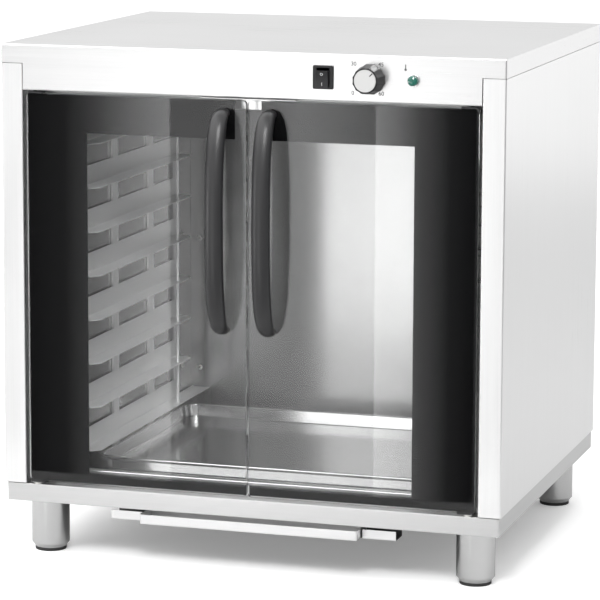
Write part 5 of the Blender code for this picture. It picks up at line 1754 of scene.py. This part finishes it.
@dataclass
class Legs:
    """Four tubular legs with turned ends, each with a rubber levelling foot."""

    radius: float = 0.030
    end_radius: float = 0.025
    top: float = 0.0877
    end: float = 0.0051
    foot: float = 0.0247
    foot_height: float = 0.0048
    x: float = 0.3475
    front_y: float = -0.2556
    rear_y: float = 0.2934
    cone: Span = (0.0123, 0.0063)
    bore: float = 0.0053
    fold: float = 0.0006
    stud: float = 0.005
    stud_top: float = 0.0992
    plug_radius: float = 0.0285
    plug: Point = (0.0091, 0.0131, 0.0847)
    stem: float = 0.0047
    ridge: float = 0.0003
    thread: float = 0.00125
    stem_top: float = 0.0545
    stem_root: float = 0.006
    sole_inner: float = 0.004
    tread_fold: float = 0.0009

    def leg(self, x: float, y: float) -> Surface:
        """Tube with a stud above, a cone and a short ring below, all turned round its axis.

        Args:
            x: the axis's X.
            y: the axis's Y.

        Returns:
            The closed surface.
        """
        outer = filleted([(self.stud, self.top), (self.radius, self.top), (self.radius, self.cone[0]),
                          (self.end_radius, self.cone[1]), (self.end_radius, self.end),
                          (self.bore, self.end)], self.fold, 4)
        start, low, high = self.plug
        profile = [(0, self.stud_top), (self.stud, self.stud_top)] + [tuple(point) for point in outer]
        profile += [(self.bore, start), (self.plug_radius, low), (self.plug_radius, high), (0, high)]
        return spun(profile, (x, y, 0), (0, 0, 1), 96)

    def levelling_foot(self, x: float, y: float) -> Surface:
        """Rubber foot with a rounded tread and its threaded stem, whose ridges follow a sine of the height.

        Args:
            x: the axis's X.
            y: the axis's Y.

        Returns:
            The closed surface.
        """
        height = np.linspace(self.foot_height, self.stem_top, 120)[::-1]
        stem = [(self.stem + self.ridge * math.sin(h * 2 * math.pi / self.thread), h) for h in height]
        tread = filleted([(self.stem_root, self.foot_height), (self.foot, self.foot_height), (self.foot, 0),
                          (self.sole_inner, 0)], self.tread_fold, 4)
        profile = [(0, self.stem_top + self.ridge)] + stem + [tuple(point) for point in tread] + [(0, 0)]
        return spun(profile, (x, y, 0), (0, 0, 1), 64)

    def build(self) -> None:
        """Makes the legs on the cabinet and the feet on their own bodies."""
        for side in Side:
            for word, y in (("front", self.front_y), ("rear", self.rear_y)):
                corner = f"{word}_{side.word}"
                x = side.value * self.x
                finished(corner + "_tube", self.leg(x, y), LEG_STEEL, "cabinet", [corner + "_leg"])
                foot = self.levelling_foot(x, y)
                finished(corner + "_tread", foot, RUBBER, corner + "_levelling_foot", [corner + "_foot"])


@dataclass
class DripTray:
    """Trough under the doors and the shallow tray that slides out of it."""

    half: float = 0.231
    mouth: float = 0.178
    sheet: float = 0.001
    fold: float = 0.0016
    bottom: float = 0.0645
    end_top: float = 0.079
    front: float = -0.2921
    floor_start: float = -0.2879
    rear: float = -0.2561
    flange: Span = (-0.2411, 0.0867)
    gap: float = 0.0003
    tray_corner: float = 0.003
    least_radius: float = 0.0004
    floor_inset: float = 0.006
    tray_folds: Span = (0.0012, 0.0006)
    screw_x: Point = (-0.211, 0, 0.211)
    screw_y: float = -0.2486
    screw_size: Span = (0.0044, 0.0024)

    def ends(self) -> Surface:
        """Both front ends of the trough, either side of its mouth.

        Returns:
            Both, each closed.
        """
        line = [(self.front, self.end_top), (self.front, self.bottom),
                (self.floor_start - self.gap, self.bottom)]
        pair = [bent_sheet(line, self.sheet, self.fold, Axis.X, start, start + self.half - self.mouth, 4)
                for start in (-self.half, self.mouth)]
        return pair[0].joined(pair[1])

    def trough(self) -> Surface:
        """Floor, rear wall and flange of the trough, folded from one sheet.

        Returns:
            The closed surface.
        """
        end, top = self.flange
        line = [(self.floor_start, self.bottom), (self.rear, self.bottom), (self.rear, top), (end, top)]
        return bent_sheet(line, self.sheet, self.fold, Axis.X, -self.half, self.half, 4)

    def tray(self) -> Surface:
        """Shallow tray with rolled upper edges and soft corners.

        Returns:
            The closed surface.
        """
        low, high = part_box("drip_tray")
        middle = (0, (low[1] + high[1]) / 2)
        half_x, half_y = (high[0] - low[0]) / 2, (high[1] - low[1]) / 2
        floor = low[2] + self.sheet
        outer_fold, inner_fold = self.tray_folds
        line = filleted([(self.floor_inset, low[2]), (0, low[2]), (0, high[2])], outer_fold, 4)
        inner = filleted([(self.sheet, high[2]), (self.sheet, floor), (self.floor_inset, floor)],
                         inner_fold, 3)
        rings = []
        for inset, z in np.vstack([line, inner]):
            corner = max(self.tray_corner - inset, self.least_radius)
            rings.append(lifted(rounded_rectangle(half_x - inset, half_y - inset, corner, middle), Axis.Z, z))
        return woven(np.array(rings), wrap_cols=True, capped=True)

    def screws(self) -> Surface:
        """Heads under the flange that hold the trough to the base.

        Returns:
            The heads, each closed.
        """
        heads = [cross_head((x, self.screw_y, self.flange[1]), (0, 0, -1), *self.screw_size, 0.5 + x)
                 for x in self.screw_x]
        return heads[0].joined(*heads[1:])

    def build(self) -> None:
        """Makes the trough on the cabinet and the tray on its own body."""
        # The trough's floor and rear wall are in the painted-shade steel, darker than the bright ends,
        # standing in for the shade inside the slot
        finished("drip_trough", self.trough(), SHADE_DARK_STEEL, "cabinet", ["drip_tray_holder"])
        finished("trough_ends", self.ends(), COVER_STEEL, "cabinet")
        finished("folded_drip_tray", self.tray(), COVER_STEEL, "drip", ["drip_tray"])
        finished("trough_screws", self.screws(), SCREW_STEEL, "cabinet")


@dataclass
class Works:
    """Hidden works: heating element and its support, thermostat, bulb, terminal block and cable gland."""

    runs: int = 4
    half_width: float = 0.200
    half_depth: float = 0.100
    middle: float = 0.0189
    height: float = 0.0998
    radius: float = 0.004
    gland_x: float = -0.330
    gland_z: float = 0.7507
    cable: float = 0.0045
    cap: Span = (0.010, 0.020)
    cap_fold: float = 0.0028
    neck: float = 0.008
    neck_depth: float = 0.007
    nut: float = 0.013
    nut_y: Span = (0.0003, 0.006)
    nut_edge: float = 0.0006
    cap_seat: float = 0.0055

    def element(self) -> Surface:
        """Sheathed rod that runs to and fro, joined by half circles.

        Returns:
            The closed surface.
        """
        pitch = 2 * self.half_width / (self.runs - 1)
        path = []
        for run in range(self.runs):
            x = run * pitch - self.half_width
            way = -1 if run % 2 else 1
            straight = np.linspace(-way * self.half_depth, way * self.half_depth, 9)
            path += [(x, self.middle + y, self.height) for y in straight]
            if run < self.runs - 1:
                for angle in np.linspace(0, math.pi, 21)[1:-1]:
                    across = x + pitch / 2 * (1 - math.cos(angle))
                    reach = self.half_depth + pitch / 2 * math.sin(angle)
                    path.append((across, self.middle + way * reach, self.height))
        path = np.array(path)
        return tube_along(path, np.full(len(path), self.radius), 24)

    def gland(self) -> Surface:
        """Cable gland: domed cap with a bore, and a six sided nut with chamfered corners.

        Returns:
            Cap and nut, each closed.
        """
        radius, height = self.cap
        near, far = self.nut_y
        dome = filleted([(self.cable, height), (radius, height), (radius, self.cap_seat),
                         (self.neck, self.cap_seat)], self.cap_fold, 6)
        ring = [tuple(point) for point in dome]
        ring += [(self.neck, -self.neck_depth), (self.cable, -self.neck_depth)]
        cap = spun(ring_profile(ring), (self.gland_x, BACK, self.gland_z), (0, 1, 0), 48)
        outline = circle(self.nut, (self.gland_x, self.gland_z), 6)
        return cap.joined(prism(outline, Axis.Y, BACK + near, BACK + far, self.nut_edge, 3))

    def build(self) -> None:
        """Makes the element and gland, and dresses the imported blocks."""
        finished("sheathed_element", self.element(), ELEMENT_STEEL, "cabinet", ["heating_element"])
        finished("domed_gland", self.gland(), CONTROL_BLACK, "cabinet", ["cable_gland"])
        packed = {"element_support": SCREW_STEEL, "thermostat_body": CERAMIC, "thermostat_bulb": COPPER,
                  "bulb_clip": SCREW_STEEL, "terminal_block": CERAMIC}
        for node, finish in packed.items():
            repaint(node, finish)


@dataclass
class Studio:
    """White floor, reflected softboxes, lamps, the world and the camera of the photograph."""

    floor: float = 12.0
    floor_split: float = -0.87
    lift: float = 0.17
    lens: float = 186.85
    place: Point = (1.4536, -4.7483, 1.2343)
    azimuth: float = 17.618
    elevation: float = 8.914
    roll: float = 0.138
    shift: Span = (0.04, -0.08)
    sensor: float = 36
    farthest: float = 60
    horizon: Tuple[Span, ...] = ((0, 0.45), (0.25, 0.45), (0.40, 0.28), (0.60, 0.28), (0.78, 0.68), (1, 0.75))
    overhead: float = 1.2
    overhead_from: Span = (0.25, 0.60)
    card_y: float = -3.3
    card_z: Tuple[float, ...] = (-1.80, -0.70, 0.395, 2.00)
    above_share: float = 0.6
    softboxes: Tuple[Tuple[str, float, float, Tuple[Span, ...]], ...] = (
        ("left_softbox", -1.60, -1.187, ((0, 0.03), (0.3, 0.2), (0.5, 1.0), (1, 4.9))),
        ("middle_softbox", -1.187, -0.643, ((0, 1.8), (0.2, 1.85), (0.64, 4.0), (1, 2.2))),
        ("right_softbox", -0.643, -0.385, ((0, 4.9), (0.45, 1.3), (0.75, 0.2), (1, 0.02))))
    fills: Tuple[Tuple[str, Span, Span, float, float], ...] = (
        ("left_fill", (-3.2, -0.1), (-1.62, 0.41), -3.3, 0.3),
        ("right_fill", (-0.365, -0.1), (1.2, 0.41), -3.3, 0.4),
        ("upper_fill", (-3.2, 0.42), (1.2, 1.60), -3.3, 0.97),
        ("rear_fill", (1.10, 0.05), (4.5, 2.2), 4.0, 1.2))
    lamps: Tuple[Tuple[str, Point, Point, float, float], ...] = (
        ("overhead", (-1.9, -1.5, 2.6), (0, 0, 0.2), 3.4, 64),
        ("low_light", (-2.2, -1.7, 0.30), (0.1, 0, 0.03), 0.5, 7),
        ("door_light", (0.5, -2.6, 2.3), (-0.1, 0.1, 0.35), 0.8, 52))

    def camera(self) -> None:
        """Long lens a little above the cover, turned to show the right side."""
        az, el, roll = (math.radians(value) for value in (self.azimuth, self.elevation, self.roll))
        forward = Vector((-math.sin(az) * math.cos(el), math.cos(az) * math.cos(el), -math.sin(el)))
        right = Vector((math.cos(az), math.sin(az), 0))
        up = right.cross(forward)
        level = right * math.cos(roll) + up * math.sin(roll)
        tilted = up * math.cos(roll) - right * math.sin(roll)
        data = bpy.data.cameras.new("camera")
        data.sensor_width = self.sensor
        data.lens = self.lens
        data.shift_x, data.shift_y = self.shift
        data.clip_end = self.farthest
        camera = bpy.data.objects.new("camera", data)
        bpy.context.scene.collection.objects.link(camera)
        turn = Matrix((level, tilted, -forward)).transposed().to_4x4()
        camera.matrix_world = Matrix.Translation(self.place) @ turn
        bpy.context.scene.camera = camera

    def floor_part(self, name: str, line: np.ndarray) -> bpy.types.Object:
        """A strip of the white sweep that follows a line of (Y, Z) points.

        Args:
            name: the strip's name.
            line: its points.

        Returns:
            The strip.
        """
        surface = woven(np.array([lifted(line, Axis.X, x) for x in (-self.floor, self.floor)]))
        mesh = bpy.data.meshes.new(name)
        mesh.from_pydata(surface.points.tolist(), [], surface.faces)
        recipe = Recipe(name)
        cloud = recipe.noise(recipe.place(), 3.0, 2)
        path = recipe.node("ShaderNodeLightPath")
        tint = recipe.node("ShaderNodeMixRGB")
        recipe.feed(tint.inputs["Fac"], path.outputs["Is Camera Ray"])
        recipe.feed(tint.inputs["Color1"], recipe.tones(cloud, (0.61, 0.61, 0.61), (0.63, 0.63, 0.63)))
        recipe.feed(tint.inputs["Color2"], recipe.tones(cloud, (0.97, 0.97, 0.97), (0.99, 0.99, 0.99)))
        recipe.set(Base_Color=tint.outputs["Color"])
        recipe.set(Roughness=1.0, Specular_IOR_Level=0.0)
        recipe.set(Emission_Strength=recipe.sum(path.outputs["Is Camera Ray"], self.lift, "MULTIPLY"))
        mesh.materials.append(recipe.material)
        strip = bpy.data.objects.new(name, mesh)
        bpy.context.scene.collection.objects.link(strip)
        return strip

    def white_floor(self) -> None:
        """White floor in two strips.

        The strip before the cabinet doesn't show in mirrors, so the doors mirror the softboxes and not the
        floor.
        """
        self.floor_part("back_floor", np.array([(self.floor_split, 0), (self.floor, 0)]))
        front = self.floor_part("front_floor", np.array([(-self.floor, 0), (self.floor_split, 0)]))
        front.visible_glossy = False
        front.visible_transmission = False

    def card(self, name: str, low: Span, high: Span, depth: float, levels: Sequence[Span],
             direct: bool = True, through: bool = False) -> None:
        """Upright glowing card that only shows in reflections.

        Args:
            name: the card's name.
            low: its lower left corner, as X and Z.
            high: its upper right corner.
            depth: its Y.
            levels: (share across, brightness) pairs from left to right.
            direct: True where it shows in outer faces.
            through: True where it shows to rays that come out through the glass.
        """
        (left, bottom), (right, ceiling) = low, high
        corners = [(left, depth, bottom), (right, depth, bottom), (right, depth, ceiling),
                   (left, depth, ceiling)]
        mesh = bpy.data.meshes.new(name)
        mesh.from_pydata(corners, [], [(3, 2, 1, 0)])
        recipe = Recipe(name)
        across = recipe.node("ShaderNodeSeparateXYZ")
        recipe.feed(across.inputs["Vector"], recipe.place())
        share = recipe.span(across.outputs["X"], 0.0, 1.0, left, right)
        ramp = recipe.node("ShaderNodeValToRGB")
        recipe.feed(ramp.inputs["Fac"], share)
        top = max(level for _, level in levels)
        elements = ramp.color_ramp.elements
        while len(elements) < len(levels):
            elements.new(0.5)
        for element, (position, level) in zip(elements, levels):
            element.position = position
            element.color = (level / top, level / top, level / top, 1)
        glow = recipe.node("ShaderNodeEmission")
        recipe.feed(glow.inputs["Color"], ramp.outputs["Color"])
        glow.inputs["Strength"].default_value = top
        recipe.feed(recipe.output.inputs["Surface"], glow.outputs["Emission"])
        mesh.materials.append(recipe.material)
        card = bpy.data.objects.new(name, mesh)
        card.visible_camera = False
        card.visible_shadow = False
        card.visible_diffuse = False
        card.visible_glossy = direct
        card.visible_transmission = through
        bpy.context.scene.collection.objects.link(card)

    def lamp(self, name: str, place: Point, aim: Point, size: float, power: float) -> None:
        """Soft square area lamp.

        Args:
            name: the lamp's name.
            place: its middle.
            aim: the point that it faces.
            size: its width.
            power: its power in watts.
        """
        data = bpy.data.lights.new(name, "AREA")
        data.shape = "RECTANGLE"
        data.size, data.size_y = size, size
        data.energy = power
        lamp = bpy.data.objects.new(name, data)
        lamp.visible_camera = False
        toward = Vector(aim) - Vector(place)
        lamp.matrix_world = Matrix.Translation(place) @ toward.to_track_quat("-Z", "Y").to_matrix().to_4x4()
        bpy.context.scene.collection.objects.link(lamp)

    def world(self) -> None:
        """Surroundings that are dark at the sides, mid grey before the doors and pale behind and overhead.

        The camera sees plain white where it looks past everything.
        """
        world = bpy.data.worlds.new("surroundings")
        world.use_nodes = True
        tree = world.node_tree
        tree.nodes.clear()
        output = tree.nodes.new("ShaderNodeOutputWorld")
        where = tree.nodes.new("ShaderNodeTexCoord")
        parts = tree.nodes.new("ShaderNodeSeparateXYZ")
        tree.links.new(where.outputs["Generated"], parts.inputs["Vector"])
        ramp = tree.nodes.new("ShaderNodeValToRGB")
        facing = tree.nodes.new("ShaderNodeMapRange")
        facing.inputs["From Min"].default_value = -1
        tree.links.new(parts.outputs["Y"], facing.inputs["Value"])
        tree.links.new(facing.outputs["Result"], ramp.inputs["Fac"])
        elements = ramp.color_ramp.elements
        while len(elements) < len(self.horizon):
            elements.new(0.5)
        for element, (position, level) in zip(elements, self.horizon):
            element.position = position
            element.color = (level, level, level, 1)
        rise = tree.nodes.new("ShaderNodeMapRange")
        rise.inputs["From Min"].default_value, rise.inputs["From Max"].default_value = self.overhead_from
        tree.links.new(parts.outputs["Z"], rise.inputs["Value"])
        blend = tree.nodes.new("ShaderNodeMixRGB")
        blend.inputs["Color2"].default_value = (*[self.overhead] * 3, 1)
        tree.links.new(rise.outputs["Result"], blend.inputs["Fac"])
        tree.links.new(ramp.outputs["Color"], blend.inputs["Color1"])
        soft = tree.nodes.new("ShaderNodeBackground")
        tree.links.new(blend.outputs["Color"], soft.inputs["Color"])
        white = tree.nodes.new("ShaderNodeBackground")
        white.inputs["Color"].default_value = (1, 1, 1, 1)
        path = tree.nodes.new("ShaderNodeLightPath")
        mix = tree.nodes.new("ShaderNodeMixShader")
        tree.links.new(path.outputs["Is Camera Ray"], mix.inputs["Fac"])
        tree.links.new(soft.outputs["Background"], mix.inputs[1])
        tree.links.new(white.outputs["Background"], mix.inputs[2])
        tree.links.new(mix.outputs["Shader"], output.inputs["Surface"])
        bpy.context.scene.world = world

    def build(self) -> None:
        """Sets the whole studio."""
        self.white_floor()
        depth = self.card_y
        ground, low, high, sky = self.card_z
        for name, left, right, levels in self.softboxes:
            self.card(name, (left, low), (right, high), depth, levels, through=True)
            self.card(name + "_below", (left, ground), (right, low), depth, levels, direct=False,
                      through=True)
            dimmed = tuple((share, level * self.above_share) for share, level in levels)
            self.card(name + "_above", (left, high), (right, sky), depth, dimmed, direct=False,
                      through=True)
        for name, corner, far_corner, away, level in self.fills:
            self.card(name, corner, far_corner, away, ((0, level), (1, level)))
        for name, place, aim, size, power in self.lamps:
            self.lamp(name, place, aim, size, power)
        self.world()
        self.camera()
        bpy.context.scene.view_settings.view_transform = "Standard"


def main() -> None:
    """Builds every sub-assembly in order, then the studio."""
    logging.basicConfig(level=logging.INFO, format="%(message)s")
    assemblies = [Case(), Cavity(), WaterPan(), Door(Side.LEFT), Door(Side.RIGHT), Knob(),
                  Rocker(), PilotLamp(), Legend(), Legs(), DripTray(), Works()]
    for assembly in assemblies:
        LOG.info("building %s", type(assembly).__name__)
        assembly.build()
    Studio().build()


if __name__ == "__main__":
    main()
